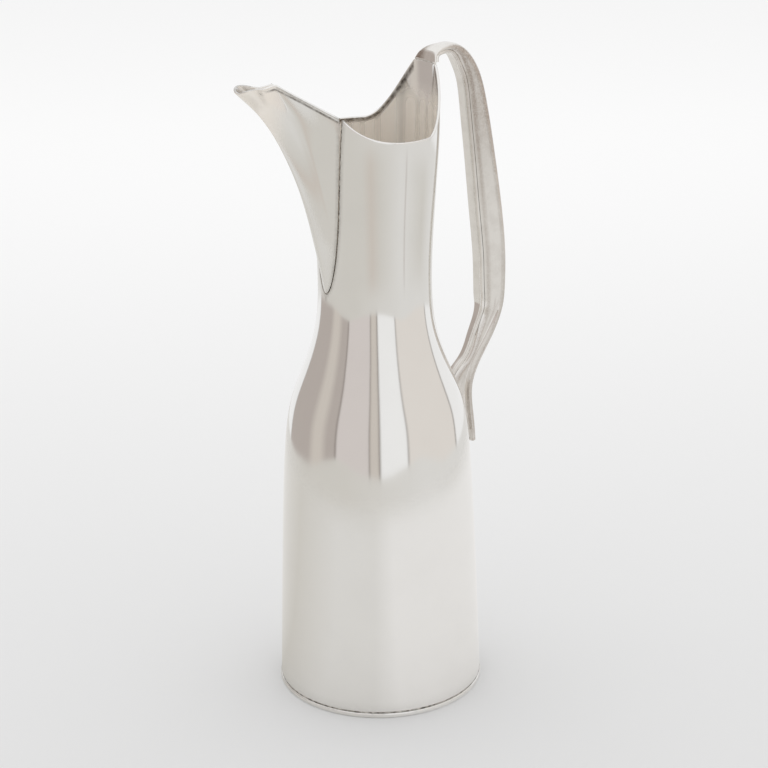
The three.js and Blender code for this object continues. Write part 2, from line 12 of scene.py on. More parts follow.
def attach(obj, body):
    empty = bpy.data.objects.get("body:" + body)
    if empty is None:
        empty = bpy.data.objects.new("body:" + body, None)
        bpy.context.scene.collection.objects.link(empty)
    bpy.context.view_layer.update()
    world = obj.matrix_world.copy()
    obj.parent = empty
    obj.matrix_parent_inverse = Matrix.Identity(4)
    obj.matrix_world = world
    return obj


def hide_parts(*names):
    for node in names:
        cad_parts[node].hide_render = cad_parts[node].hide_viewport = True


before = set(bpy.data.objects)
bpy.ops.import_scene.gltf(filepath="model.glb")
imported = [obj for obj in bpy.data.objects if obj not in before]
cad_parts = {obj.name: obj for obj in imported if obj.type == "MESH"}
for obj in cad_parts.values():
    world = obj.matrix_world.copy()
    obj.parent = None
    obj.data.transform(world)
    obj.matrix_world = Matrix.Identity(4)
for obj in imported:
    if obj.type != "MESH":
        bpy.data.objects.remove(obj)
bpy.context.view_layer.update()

LOG = logging.getLogger("silver_pitcher")
MM = 0.001
Point = tuple[float, float, float]
Feed = float | Sequence[float] | bpy.types.NodeSocket


class Card(Enum):
    """Plain colours of the cards and the paper that stand and lie round the pitcher."""

    WHITE = (0.93, 0.93, 0.93)
    CREAM = (0.8, 0.76, 0.72)
    ROSE = (0.7, 0.65, 0.63)
    SAND = (0.65, 0.6, 0.55)
    TAUPE = (0.5, 0.45, 0.42)
    GAP = (0.25, 0.22, 0.2)
    BRIGHT_PAPER = (0.88, 0.87, 0.86)
    PAPER = (0.78, 0.77, 0.75)
    DIM_PAPER = (0.68, 0.66, 0.62)


Tones = list[tuple[float, Card]]


def mix(low: float, high: float, share: float) -> float:
    """Value between low and high at a share of the way."""
    return low + (high - low) * share


def smooth_step(low: float, high: float, value: float) -> float:
    """Soft step from 0 at low to 1 at high."""
    share = min(max((value - low) / (high - low), 0.0), 1.0)
    return share * share * (3.0 - 2.0 * share)


def signed_power(value: float, power: float) -> float:
    """Power of a value's size, with the value's sign."""
    return math.copysign(abs(value) ** power, value)


class SmoothLine:
    """Natural cubic spline through knots of place and value."""

    def __init__(self, knots: Sequence[tuple[float, float]]) -> None:
        """Solves the spline's bends.

        Args:
            knots: Places in rising order, each with its value.
        """
        self.places = [knot[0] for knot in knots]
        self.values = [knot[1] for knot in knots]
        count = len(knots)
        self.bends = [0.0] * count
        carry = [0.0] * count
        for i in range(1, count - 1):
            before = self.places[i] - self.places[i - 1]
            after = self.places[i + 1] - self.places[i]
            share = before / (before + after)
            pivot = share * self.bends[i - 1] + 2.0
            rise_after = (self.values[i + 1] - self.values[i]) / after
            rise_before = (self.values[i] - self.values[i - 1]) / before
            turn = 6.0 * (rise_after - rise_before) / (before + after)
            self.bends[i] = (share - 1.0) / pivot
            carry[i] = (turn - share * carry[i - 1]) / pivot
        for i in range(count - 2, -1, -1):
            self.bends[i] = self.bends[i] * self.bends[i + 1] + carry[i]

    def __call__(self, place: float) -> float:
        """Evaluates the spline.

        Args:
            place: Where along the knots.

        Returns:
            The value there.
        """
        i = 0
        while i < len(self.places) - 2 and place > self.places[i + 1]:
            i += 1
        width = self.places[i + 1] - self.places[i]
        right = (place - self.places[i]) / width
        left = 1.0 - right
        straight = left * self.values[i] + right * self.values[i + 1]
        curved = (left ** 3 - left) * self.bends[i] + (right ** 3 - right) * self.bends[i + 1]
        return straight + curved * width * width / 6.0


class Bench:
    """Modelling moves on the bench: each starts from a primitive and works in edit mode."""

    @staticmethod
    def clear() -> None:
        """Leaves edit mode and deselects everything."""
        if bpy.context.object and bpy.context.object.mode != "OBJECT":
            bpy.ops.object.mode_set(mode="OBJECT")
        bpy.ops.object.select_all(action="DESELECT")

    @staticmethod
    def pick(piece: bpy.types.Object) -> None:
        """Makes one piece the only selected and active one."""
        Bench.clear()
        piece.select_set(True)
        bpy.context.view_layer.objects.active = piece

    @staticmethod
    def chained(name: str, points: Sequence[Point]) -> bpy.types.Object:
        """Draws a wire through points by extruding a corner, and stays in edit mode.

        Args:
            name: Name of the piece.
            points: Points of the wire, in millimetres.

        Returns:
            The piece with its whole wire selected.
        """
        Bench.clear()
        bpy.ops.mesh.primitive_plane_add(size=MM, location=(0.0, 0.0, 0.0))
        piece = bpy.context.object
        piece.name = name
        bpy.ops.object.mode_set(mode="EDIT")
        bpy.ops.mesh.select_all(action="SELECT")
        bpy.ops.mesh.merge(type="CENTER")
        bpy.ops.transform.translate(value=tuple(value * MM for value in points[0]))
        for here, there in zip(points, points[1:]):
            move = tuple((end - start) * MM for start, end in zip(here, there))
            bpy.ops.mesh.extrude_region_move(TRANSFORM_OT_translate={"value": move})
        bpy.ops.mesh.select_all(action="SELECT")
        bpy.ops.mesh.remove_doubles(threshold=1e-7)
        return piece

    @staticmethod
    def face_outwards() -> None:
        """Turns all faces of the piece in edit mode outwards and leaves edit mode."""
        bpy.ops.mesh.select_all(action="SELECT")
        bpy.ops.mesh.normals_make_consistent(inside=False)
        bpy.ops.object.mode_set(mode="OBJECT")

    @staticmethod
    def spun(name: str, outline: Sequence[tuple[float, float]], steps: int, closed: bool) -> bpy.types.Object:
        """Turns an outline about the Z axis, as on a lathe.

        Args:
            name: Name of the piece.
            outline: Radius and height of each point, in millimetres.
            steps: Number of steps round the axis.
            closed: Whether the outline's last point joins its first.

        Returns:
            The turned piece, with its doubles merged and its faces outwards.
        """
        points = [(radius, 0.0, height) for radius, height in outline]
        piece = Bench.chained(name, points + (points[:1] if closed else []))
        bpy.ops.mesh.spin(steps=steps, angle=math.tau, center=(0.0, 0.0, 0.0), axis=(0.0, 0.0, 1.0))
        bpy.ops.mesh.select_all(action="SELECT")
        bpy.ops.mesh.remove_doubles(threshold=1e-6)
        Bench.face_outwards()
        return piece

    @staticmethod
    def lofted(name: str, columns: int, rows: int,
               place: Callable[[float, float], Point]) -> bpy.types.Object:
        """Lays a grid over a form and closes its seams and ends.

        Args:
            name: Name of the piece.
            columns: Divisions across.
            rows: Divisions along.
            place: Point in millimetres for a share across and a share along.

        Returns:
            The closed piece with its faces outwards.
        """
        Bench.clear()
        bpy.ops.mesh.primitive_grid_add(x_subdivisions=columns, y_subdivisions=rows, size=2.0)
        piece = bpy.context.object
        piece.name = name
        for vertex in piece.data.vertices:
            across = (vertex.co.x + 1.0) / 2.0
            along = (vertex.co.y + 1.0) / 2.0
            vertex.co = Vector(place(across, along)) * MM
        bpy.ops.object.mode_set(mode="EDIT")
        bpy.ops.mesh.select_all(action="SELECT")
        bpy.ops.mesh.remove_doubles(threshold=1e-6)
        bpy.ops.mesh.fill_holes(sides=0)
        Bench.face_outwards()
        return piece

    @staticmethod
    def cut(piece: bpy.types.Object, cutter: bpy.types.Object, operation: str = "DIFFERENCE") -> None:
        """Cuts a piece by another one, which is used up.

        Args:
            piece: The piece that is changed.
            cutter: The cutting form, removed afterwards.
            operation: Name of the boolean operation.
        """
        Bench.pick(piece)
        modifier = piece.modifiers.new("cut", "BOOLEAN")
        modifier.operation = operation
        modifier.solver = "MANIFOLD"
        modifier.object = cutter
        bpy.ops.object.modifier_apply(modifier=modifier.name)
        bpy.data.objects.remove(cutter, do_unlink=True)

    @staticmethod
    def rounded(piece: bpy.types.Object, width: float, segments: int, angle: float = 40.0) -> None:
        """Rounds a piece's sharp edges.

        Args:
            piece: The piece.
            width: Width of the rounding in millimetres.
            segments: Steps of the rounding.
            angle: Least angle of an edge that counts as sharp, in degrees.
        """
        Bench.pick(piece)
        modifier = piece.modifiers.new("rounding", "BEVEL")
        modifier.width = width * MM
        modifier.segments = segments
        modifier.limit_method = "ANGLE"
        modifier.angle_limit = math.radians(angle)
        bpy.ops.object.modifier_apply(modifier=modifier.name)

    @staticmethod
    def smooth(piece: bpy.types.Object, angle: float = 35.0) -> None:
        """Shades a piece smooth, with edges above an angle kept sharp."""
        Bench.pick(piece)
        bpy.ops.object.shade_smooth_by_angle(angle=math.radians(angle))

    @staticmethod
    def write_point_share(piece: bpy.types.Object, amount: Callable[[Vector, Vector], float],
                       name: str = "tarnish_and_shade") -> None:
        """Writes a share for each point, for the finish to read: tarnish, polish, painted shade or painted
        reflection.

        Args:
            piece: The piece.
            amount: Share from 0 to 1 at a point in millimetres with its normal.
            name: Name of the share.
        """
        layer = piece.data.attributes.new(name, "FLOAT", "POINT")
        for i, vertex in enumerate(piece.data.vertices):
            layer.data[i].value = amount(vertex.co / MM, vertex.normal)


class NodeBench:
    """Adds nodes to a tree, each with its settings, values and links."""

    def __init__(self, tree: bpy.types.NodeTree) -> None:
        """Takes the tree that the nodes go to."""
        self.tree = tree

    def feed(self, node: bpy.types.Node, inputs: dict[str | int, Feed]) -> None:
        """Sets a node's inputs.

        Args:
            node: The node.
            inputs: Values of its inputs, or the outputs that are linked to them.
        """
        for name, value in inputs.items():
            if isinstance(value, bpy.types.NodeSocket):
                self.tree.links.new(value, node.inputs[name])
            else:
                node.inputs[name].default_value = value

    def add(self, kind: str, inputs: dict[str | int, Feed], **settings: object) -> bpy.types.Node:
        """Adds a node.

        Args:
            kind: Type of the node, without the start that all shader nodes share.
            inputs: Values of its inputs, or the outputs that are linked to them.
            settings: The node's own settings, made before its inputs are set.

        Returns:
            The node.
        """
        node = self.tree.nodes.new("ShaderNode" + kind)
        for name, value in settings.items():
            setattr(node, name, value)
        self.feed(node, inputs)
        return node

    def point_share(self, name: str) -> bpy.types.NodeSocket:
        """Output with the share that is written on each point of the piece under a name: tarnish, polish,
        painted shade or painted reflection.
        """
        return self.add("Attribute", {}, attribute_name=name).outputs["Fac"]

    def noise(self, place: bpy.types.NodeSocket, scale: float, detail: float,
              roughness: float = 0.5) -> bpy.types.NodeSocket:
        """Output of a noise pattern over the place."""
        inputs = {"Vector": place, "Scale": scale, "Detail": detail, "Roughness": roughness}
        return self.add("TexNoise", inputs).outputs["Fac"]

    def span(self, value: bpy.types.NodeSocket, start: float, end: float, low: float = 0.0,
             high: float = 1.0) -> bpy.types.NodeSocket:
        """Output that goes from low to high while the value goes from start to end."""
        inputs = {"Value": value, "From Min": start, "From Max": end, "To Min": low, "To Max": high}
        return self.add("MapRange", inputs).outputs["Result"]

    def step(self, value: bpy.types.NodeSocket, start: float, end: float) -> bpy.types.NodeSocket:
        """Output with a soft step from 0 to 1 while the value goes from start to end."""
        inputs = {"Value": value, "From Min": start, "From Max": end}
        return self.add("MapRange", inputs, interpolation_type="SMOOTHSTEP").outputs["Result"]

    def maths(self, operation: str, *terms: Feed) -> bpy.types.NodeSocket:
        """Output of a named operation on its terms, in order."""
        return self.add("Math", dict(enumerate(terms)), operation=operation).outputs[0]

    def layered(self, share: bpy.types.NodeSocket, under: bpy.types.NodeSocket | Point,
                over: bpy.types.NodeSocket | Point) -> bpy.types.NodeSocket:
        """Lays one colour over another.

        Args:
            share: Output that gives how much of the upper colour shows.
            under: Lower colour.
            over: Upper colour.

        Returns:
            The output with the colour.
        """
        inputs = {"Factor": share}
        for name, colour in (("A", under), ("B", over)):
            inputs[name] = colour if isinstance(colour, bpy.types.NodeSocket) else (*colour, 1.0)
        return self.add("Mix", inputs, data_type="RGBA").outputs["Result"]


class Seat(Enum):
    """What a piece of the pitcher is made of: its material slot."""

    BODY = "polished_silver"
    HANDLE = "handle_silver"
    SOLDER = "silver_solder"


@dataclass(frozen=True)
class SilverFinish:
    """Polished silver: clear reflections with fine waviness, hairlines and tarnish; the tarnish colour also
    paints dark reflections and shade, and a painted pale streaked reflection, satin and mostly non-metal, is
    laid on the inside.
    """

    name: str
    bright: Point
    # Dark colour for tarnish, also used for painted dark reflections and painted shade.
    tarnish_and_shade_colour: Point
    # Colour of the painted pale reflection inside the bottle and under the lip.
    painted_reflection: Point = (0.95, 0.885, 0.8)
    roughness: float = 0.085
    worn_roughness: float = 0.16
    painted_reflection_roughness: float = 0.24
    painted_reflection_metal: float = 0.2
    wave_scale: float = 38.0
    wave_depth: float = 0.00007
    hairline_scale: float = 900.0
    hairline_depth: float = 0.0000012
    hairline_stretch: Point = (1.0, 1.0, 0.06)
    hairline_turn: Point = (0.25, 0.1, 0.0)
    patch_scale: float = 55.0
    patch_share: float = 0.025
    patch_limits: tuple[float, float] = (0.45, 0.8)
    grain_ratio: float = 12.0
    grain_limits: tuple[float, float] = (0.3, 0.65)
    grain_least: float = 0.45

    def material(self) -> bpy.types.Material:
        """Builds the finish's nodes.

        Returns:
            The material.
        """
        material = bpy.data.materials.new(self.name)
        material.use_nodes = True
        bench = NodeBench(material.node_tree)
        place = bench.add("TexCoord", {}).outputs["Object"]
        # Share of the painted pale reflection, which also makes the silver satin and mostly non-metal.
        painted_reflection_share = bench.point_share("painted_reflection")
        patches = bench.noise(place, self.patch_scale, 5.0, 0.6)
        spread = bench.span(patches, *self.patch_limits, 0.0, self.patch_share)
        fine = bench.noise(place, self.patch_scale * self.grain_ratio, 4.0)
        grain = bench.span(fine, *self.grain_limits, self.grain_least)
        # Tarnish together with painted shade and painted dark reflections, broken up by fine grain.
        broken = bench.maths("MULTIPLY", bench.point_share("tarnish_and_shade"), grain)
        tarnish_and_shade = bench.add("Math", {0: spread, 1: broken}, operation="ADD", use_clamp=True).outputs[0]
        silver = bench.layered(tarnish_and_shade, self.bright, self.tarnish_and_shade_colour)
        dull = bench.span(tarnish_and_shade, 0.0, 1.0, self.roughness, self.worn_roughness)
        waves = bench.noise(place, self.wave_scale, 1.0)
        strokes = {"Vector": place, "Scale": self.hairline_stretch, "Rotation": self.hairline_turn}
        brushed = bench.add("Mapping", strokes).outputs["Vector"]
        hairlines = bench.noise(brushed, self.hairline_scale, 2.0)
        hammered = bench.add("Bump", {"Strength": 1.0, "Distance": self.wave_depth, "Height": waves})
        scratches = {"Strength": 1.0, "Distance": self.hairline_depth, "Height": hairlines}
        scratched = bench.add("Bump", scratches | {"Normal": hammered.outputs["Normal"]})
        bench.feed(material.node_tree.nodes["Principled BSDF"], {
            "Metallic": bench.span(painted_reflection_share, 0.0, 1.0, 1.0, self.painted_reflection_metal),
            "Base Color": bench.layered(painted_reflection_share, silver, self.painted_reflection),
            "Roughness": bench.maths("MULTIPLY_ADD", painted_reflection_share, self.painted_reflection_roughness, dull),
            "Normal": scratched.outputs["Normal"],
        })
        return material


@dataclass(frozen=True)
class SolderFinish:
    """Silver solder: dull, darker than the sheet and full of small pits."""

    name: str = "pitted_solder"
    clean: Point = (0.62, 0.6, 0.56)
    sooty: Point = (0.1, 0.085, 0.07)
    pit_scale: float = 420.0
    pit_depth: float = 0.00025
    soot_limits: tuple[float, float] = (0.36, 0.62)
    sooty_roughness: float = 0.55
    clean_roughness: float = 0.28

    def material(self) -> bpy.types.Material:
        """Builds the finish's nodes.

        Returns:
            The material.
        """
        material = bpy.data.materials.new(self.name)
        material.use_nodes = True
        bench = NodeBench(material.node_tree)
        place = bench.add("TexCoord", {}).outputs["Object"]
        pits = bench.noise(place, self.pit_scale, 6.0, 0.65)
        cleaned = bench.maths("MAXIMUM", bench.span(pits, *self.soot_limits), bench.point_share("polish"))
        bench.feed(material.node_tree.nodes["Principled BSDF"], {
            "Metallic": 1.0,
            "Base Color": bench.layered(cleaned, self.sooty, self.clean),
            "Roughness": bench.span(cleaned, 0.0, 1.0, self.sooty_roughness, self.clean_roughness),
            "Normal": bench.add("Bump", {"Distance": self.pit_depth, "Height": pits}).outputs["Normal"],
        })
        return material


class Workshop:
    """Keeps the finishes and signs off each finished piece."""

    def __init__(self) -> None:
        """Makes the finishes of the pitcher."""
        # The body's dark tarnish colour also paints the dark reflection under the rim and under the spout's
        # edge; the handle's also paints its shade streaks and the dark reflection at the root.
        body = SilverFinish("hand_polished_silver", (0.86, 0.852, 0.835), (0.12, 0.1, 0.085))
        handle = SilverFinish("handle_silver_painted_shade", (0.86, 0.84, 0.81), (0.3, 0.235, 0.19), roughness=0.09,
                              worn_roughness=0.2, patch_scale=150.0, patch_share=0.16)
        self.finishes = {
            Seat.BODY: body.material(),
            Seat.HANDLE: handle.material(),
            Seat.SOLDER: SolderFinish().material(),
        }
        polished = SolderFinish("polished_solder", (0.84, 0.825, 0.8), (0.62, 0.59, 0.55), pit_depth=0.00002)
        self.polished_solder = polished.material()

    def sign_off(self, piece: bpy.types.Object, seat: Seat, node: str,
                 finish: bpy.types.Material | None = None) -> None:
        """Gives a piece its finish and its place in the frame.

        Args:
            piece: The finished piece.
            seat: Its material slot.
            node: The frame's node that it stands for.
            finish: Finish in place of the seat's usual one.
        """
        piece.data.materials.clear()
        piece.data.materials.append(finish or self.finishes[seat])
        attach(piece, "root")
        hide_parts(node)
        LOG.info("%s: %d faces", piece.name, len(piece.data.polygons))


@dataclass(frozen=True)
class Sheet:
    """Sizes of the sheet and its joints, in millimetres."""

    wall: float = 1.2
    handle_wall: float = 1.2
    solder: float = 0.6
    clearance: float = 0.1

    @property
    def joint(self) -> float:
        """Whole width of a soldered joint."""
        return self.solder + 2.0 * self.clearance


@dataclass(frozen=True)
class Bottle:
    """The body's outline, its rim and the throat for the spout, in millimetres."""

    sheet: Sheet = Sheet()
    base_radius: float = 50.0
    base_thickness: float = 2.4
    base_ledge: float = 0.4
    belly: tuple[float, float] = (100.0, 45.95)
    shoulder: tuple[float, float] = (128.0, 44.0)
    slope: tuple[float, float] = (164.0, 34.1)
    neck: tuple[float, float] = (203.0, 26.8)
    rim: tuple[float, float] = (276.4, 30.9)
    tongue_rise: float = 33.1
    tongue_cut: float = 5.0
    tongue_angle: float = 66.0
    rim_sweep: float = 10.6
    rim_sweep_power: float = 3.8
    throat_length: float = 84.5
    throat_half_width: float = 17.0
    throat_power: float = 2.25

    @property
    def bottom(self) -> float:
        """Height of the body's lower edge."""
        return self.base_thickness + self.sheet.joint

    @property
    def foot_radius(self) -> float:
        """Radius of the body at its lower edge."""
        return self.base_radius - self.base_ledge

    @property
    def tongue_top(self) -> float:
        """Height where the tongue is cut off for the handle."""
        return self.rim[0] + self.tongue_rise - self.tongue_cut

    @property
    def throat_top(self) -> float:
        """Height of the rim at the spout."""
        return self.rim[0] + self.rim_sweep

    @property
    def throat_bottom(self) -> float:
        """Height of the throat's lowest point."""
        return self.throat_top - self.throat_length

    def outline(self) -> SmoothLine:
        """Outer radius by height.

        Returns:
            The line through the outline's turning points.
        """
        knots = [
            (self.bottom, self.foot_radius),
            self.belly,
            self.shoulder,
            (mix(self.shoulder[0], self.slope[0], 0.5), mix(self.shoulder[1], self.slope[1], 0.32)),
            self.slope,
            (mix(self.slope[0], self.neck[0], 0.49), mix(self.slope[1], self.neck[1], 0.78)),
            self.neck,
            (mix(self.neck[0], self.rim[0], 0.46), mix(self.neck[1], self.rim[1], 0.34)),
            self.rim,
            (self.rim[0] + self.tongue_rise, self.rim[1]),
        ]
        return SmoothLine(knots)

    def rim_height(self, angle: float) -> float:
        """Height of the rim: a lobe up to the cut tongue, then a sweep up to the throat.

        Args:
            angle: Angle from the handle, in radians.

        Returns:
            The height.
        """
        reach = math.radians(self.tongue_angle)
        if angle < reach:
            lobe = 0.5 + 0.5 * math.cos(math.pi * angle / reach)
            return min(self.rim[0] + self.tongue_rise * lobe, self.tongue_top)
        throat_angle = math.pi - math.asin(self.throat_half_width / self.rim[1])
        sweep = min((angle - reach) / (throat_angle - reach), 1.0)
        return self.rim[0] + self.rim_sweep * sweep ** self.rim_sweep_power

    def throat_width(self, height: float) -> float:
        """Half of the throat's width at a height."""
        share = max((height - self.throat_bottom) / self.throat_length, 0.0)
        return self.throat_half_width * share ** (1.0 / self.throat_power)

    def throat_edge(self, place: float, shift: float = 0.0) -> tuple[float, float]:
        """Point of the throat's edge in the front view.

        Args:
            place: From -1 to 1 across the throat.
            shift: Distance into the throat, square to its edge.

        Returns:
            The point's Y and height.
        """
        height = self.throat_bottom + self.throat_length * abs(place) ** self.throat_power
        steep = self.throat_length * self.throat_power * abs(place) ** (self.throat_power - 1.0)
        square = Vector((-math.copysign(steep, place), self.throat_half_width)).normalized() * shift
        return place * self.throat_half_width + square.x, height + square.y


@dataclass
class BaseAssembly:
    """The flat base plate and the ring of solder under the body."""

    bottle: Bottle
    edge_round: float = 0.75
    round_steps: int = 6
    turns: int = 240
    bead_sides: int = 10
    bead_radius: float = 0.42
    bead_wander: float = 0.26

    def plate(self) -> bpy.types.Object:
        """Base plate: a disc whose upper and lower edges are rounded.

        Returns:
            The plate.
        """
        Bench.clear()
        depth = self.bottle.base_thickness
        bpy.ops.mesh.primitive_cylinder_add(vertices=self.turns, radius=self.bottle.base_radius * MM,
                                            depth=depth * MM, location=(0.0, 0.0, 0.0))
        piece = bpy.context.object
        piece.name = "base_plate_disc"
        bpy.ops.object.mode_set(mode="EDIT")
        bpy.ops.mesh.select_all(action="SELECT")
        bpy.ops.transform.translate(value=(0.0, 0.0, depth * MM / 2.0))
        bpy.ops.object.mode_set(mode="OBJECT")
        Bench.rounded(piece, self.edge_round, self.round_steps)
        Bench.smooth(piece)
        return piece

    def seam(self) -> bpy.types.Object:
        """Ring of solder of uneven thickness that fills the joint above the plate.

        Returns:
            The ring.
        """
        sheet = self.bottle.sheet
        middle = self.bottle.base_thickness + sheet.joint / 2.0
        radius = self.bottle.foot_radius - self.bead_radius * 0.8

        def place(across: float, along: float) -> Point:
            """Point of the ring for a share round its section and a share round the base."""
            around = math.tau * along
            turn = math.tau * across
            spot = Vector((math.cos(around), math.sin(around), 0.0)) * 40.0
            swell = self.bead_radius * (1.0 + self.bead_wander * noise.noise(spot))
            reach = radius + swell * math.cos(turn)
            lift = middle + swell * 0.95 * math.sin(turn)
            return reach * math.cos(around), reach * math.sin(around), lift

        piece = Bench.lofted("base_solder_ring", self.bead_sides, self.turns * 3, place)
        Bench.smooth(piece, 60.0)
        return piece

    def tarnish_and_shade(self, point: Vector, square: Vector) -> float:
        """Tarnish on top of the plate's rim, beside the solder.

        Args:
            point: Point of the surface, in millimetres.
            square: Its normal.

        Returns:
            The tarnish from 0 to 1.
        """
        rim = self.bottle.foot_radius
        outer = smooth_step(rim - 1.0, rim + 0.2, math.hypot(point.x, point.y))
        return 0.1 * outer * smooth_step(1.2, 2.3, point.z)

    def build(self, shop: Workshop) -> None:
        """Builds and signs off the pieces of the base."""
        plate = self.plate()
        Bench.write_point_share(plate, self.tarnish_and_shade)
        shop.sign_off(plate, Seat.BODY, "base_plate")
        shop.sign_off(self.seam(), Seat.SOLDER, "base_solder_seam")


@dataclass
class BodyAssembly:
    """The raised bottle with its rim, tongue and throat."""

    bottle: Bottle
    turns: int = 288
    belly_rows: int = 20
    shoulder_rows: int = 44
    neck_rows: int = 56
    rim_steps: int = 8
    cut_steps: int = 80
    cut_power: float = 1.3
    cut_start: float = -5.0
    # Painted pale streaked reflection inside the bottle: number of streaks round, their depth, and the heights
    # where it is full and where it ends up the tongue.
    painted_streaks: float = 22.0
    painted_streak_depth: float = 0.45
    painted_reflection_top: float = 282.0
    painted_reflection_end: float = 296.0
    low_tarnish: float = 0.1
    seam_tarnish: float = 0.35

    def outline_points(self) -> list[tuple[float, float]]:
        """Closed outline of the wall with a rounded rim, for a level rim.

        Returns:
            Radius and height of each point.
        """
        line = self.bottle.outline()
        half = self.bottle.sheet.wall / 2.0
        belly, neck = self.bottle.belly[0], self.bottle.neck[0]
        top = self.bottle.rim[0] - half
        heights = [mix(self.bottle.bottom, belly, i / self.belly_rows) for i in range(self.belly_rows)]
        heights += [mix(belly, neck, i / self.shoulder_rows) for i in range(self.shoulder_rows)]
        heights += [mix(neck, top, i / self.neck_rows) for i in range(self.neck_rows)]
        heights += [top - half * 0.6, top - half * 0.2, top]
        outside = [(line(height), height) for height in heights]
        inside = [(line(height) - 2.0 * half, height) for height in heights[::-1]]
        middle = line(top) - half
        turns = [math.pi * i / self.rim_steps for i in range(1, self.rim_steps)]
        rim = [(middle + half * math.cos(turn), top + half * math.sin(turn)) for turn in turns]
        return outside + rim + inside

    def raise_rim(self, piece: bpy.types.Object) -> None:
        """Stretches the neck up to the rim's own height at each angle."""
        line = self.bottle.outline()
        half = self.bottle.sheet.wall / 2.0
        neck, level = self.bottle.neck[0], self.bottle.rim[0] - half
        for vertex in piece.data.vertices:
            height = vertex.co.z / MM
            if height <= neck:
                continue
            turn = math.atan2(vertex.co.y, vertex.co.x)
            radius = math.hypot(vertex.co.x, vertex.co.y) / MM
            top = self.bottle.rim_height(abs(turn)) - half
            if height <= level:
                lifted = mix(neck, top, (height - neck) / (level - neck))
            else:
                lifted = top + height - level
            inset = line(min(height, level)) - radius
            moved = line(min(lifted, top)) - inset
            vertex.co = Vector((moved * math.cos(turn), moved * math.sin(turn), lifted)) * MM

    def build(self, shop: Workshop) -> None:
        """Builds and signs off the body."""
        piece = Bench.spun("raised_body", self.outline_points(), self.turns, closed=True)
        self.raise_rim(piece)
        Bench.cut(piece, self.cutter_block())
        Bench.smooth(piece, 40.0)
        # Seam tarnish with a painted dark reflection under the rim, then the painted pale reflection inside.
        Bench.write_point_share(piece, self.tarnish_and_shade)
        Bench.write_point_share(piece, self.painted_reflection, "painted_reflection")
        shop.sign_off(piece, Seat.BODY, "body_shell")

    def cutter_block(self) -> bpy.types.Object:
        """Block with the throat's outline, pushed through the front wall.

        Returns:
            The cutter.
        """
        crest = self.bottle.rim[0] + self.bottle.tongue_rise
        wide = self.bottle.throat_half_width
        outline = [(-wide, crest)]
        for i in range(-self.cut_steps, self.cut_steps + 1):
            outline.append(self.bottle.throat_edge(signed_power(i / self.cut_steps, self.cut_power)))
        outline.append((wide, crest))
        points = [(self.cut_start, y, height) for y, height in outline]
        piece = Bench.chained("throat_cutter", points + points[:1])
        bpy.ops.mesh.edge_face_add()
        through = (-self.bottle.base_radius * MM, 0.0, 0.0)
        bpy.ops.mesh.extrude_region_move(TRANSFORM_OT_translate={"value": through})
        Bench.face_outwards()
        return piece

    def rim_gap(self, point: Vector) -> float:
        """Distance of a point below the rim, square to the rim's edge.

        Args:
            point: Point of the wall, in millimetres.

        Returns:
            The distance.
        """
        step = 0.01
        turn = min(max(abs(math.atan2(point.y, point.x)), step), math.pi - step)
        rise = self.bottle.rim_height(turn + step) - self.bottle.rim_height(turn - step)
        slope = rise / (2.0 * step * max(math.hypot(point.x, point.y), 1.0))
        return (self.bottle.rim_height(turn) - point.z) / math.hypot(1.0, slope)

    @staticmethod
    def inwards(point: Vector, square: Vector) -> float:
        """How much a surface faces the bottle's axis, from -1 to 1."""
        return -(point.x * square.x + point.y * square.y) / max(math.hypot(point.x, point.y), 1.0)

    def painted_reflection(self, point: Vector, square: Vector) -> float:
        """Painted pale streaked reflection, shaded dull, on the wall inside the bottle; it fades out up the
        tongue, where the plain mirror silver shows.

        Args:
            point: Point of the surface, in millimetres.
            square: Its normal.

        Returns:
            The share of the painted pale reflection from 0 to 1.
        """
        turn = math.atan2(point.y, point.x)
        # Painted pale and darker stripes of reflection round the inside, on inward faces.
        painted_streak = 0.5 + 0.5 * math.cos(self.painted_streaks * turn + 1.7 * math.sin(5.0 * turn))
        dull = smooth_step(0.5, 0.9, self.inwards(point, square))
        dull *= smooth_step(self.painted_reflection_end, self.painted_reflection_top, point.z)
        return dull * (1.0 - self.painted_streak_depth * painted_streak * painted_streak) * smooth_step(1.4, 3.0, self.rim_gap(point))

    def tarnish_and_shade(self, point: Vector, square: Vector) -> float:
        """Tarnish at the soldered seams and near the lower edge, and a painted dark reflection in a band under
        the rim inside.

        Args:
            point: Point of the surface, in millimetres.
            square: Its normal.

        Returns:
            The tarnish and painted shade from 0 to 1.
        """
        facing = self.inwards(point, square)
        low = self.low_tarnish * smooth_step(self.bottle.bottom + 3.5, self.bottle.bottom, point.z)
        seam = 0.0
        if point.x < 0.0 and point.z > self.bottle.throat_bottom - 4.0:
            away = abs(point.y) - self.bottle.throat_width(point.z)
            seam = self.seam_tarnish * smooth_step(1.6, 0.0, away)
        # Painted dark reflection in a band just under the rim on inward faces, left off where the tongue is
        # soldered.
        gap = self.rim_gap(point)
        turn = math.atan2(point.y, point.x)
        soldered = self.bottle.rim_height(abs(turn)) > self.bottle.tongue_top - 0.01
        shade = 0.0 if soldered else smooth_step(0.4, 0.9, gap) * smooth_step(3.6, 2.0, gap)
        shade *= smooth_step(0.4, 0.8, facing)
        return min(low + seam + shade, 1.0)


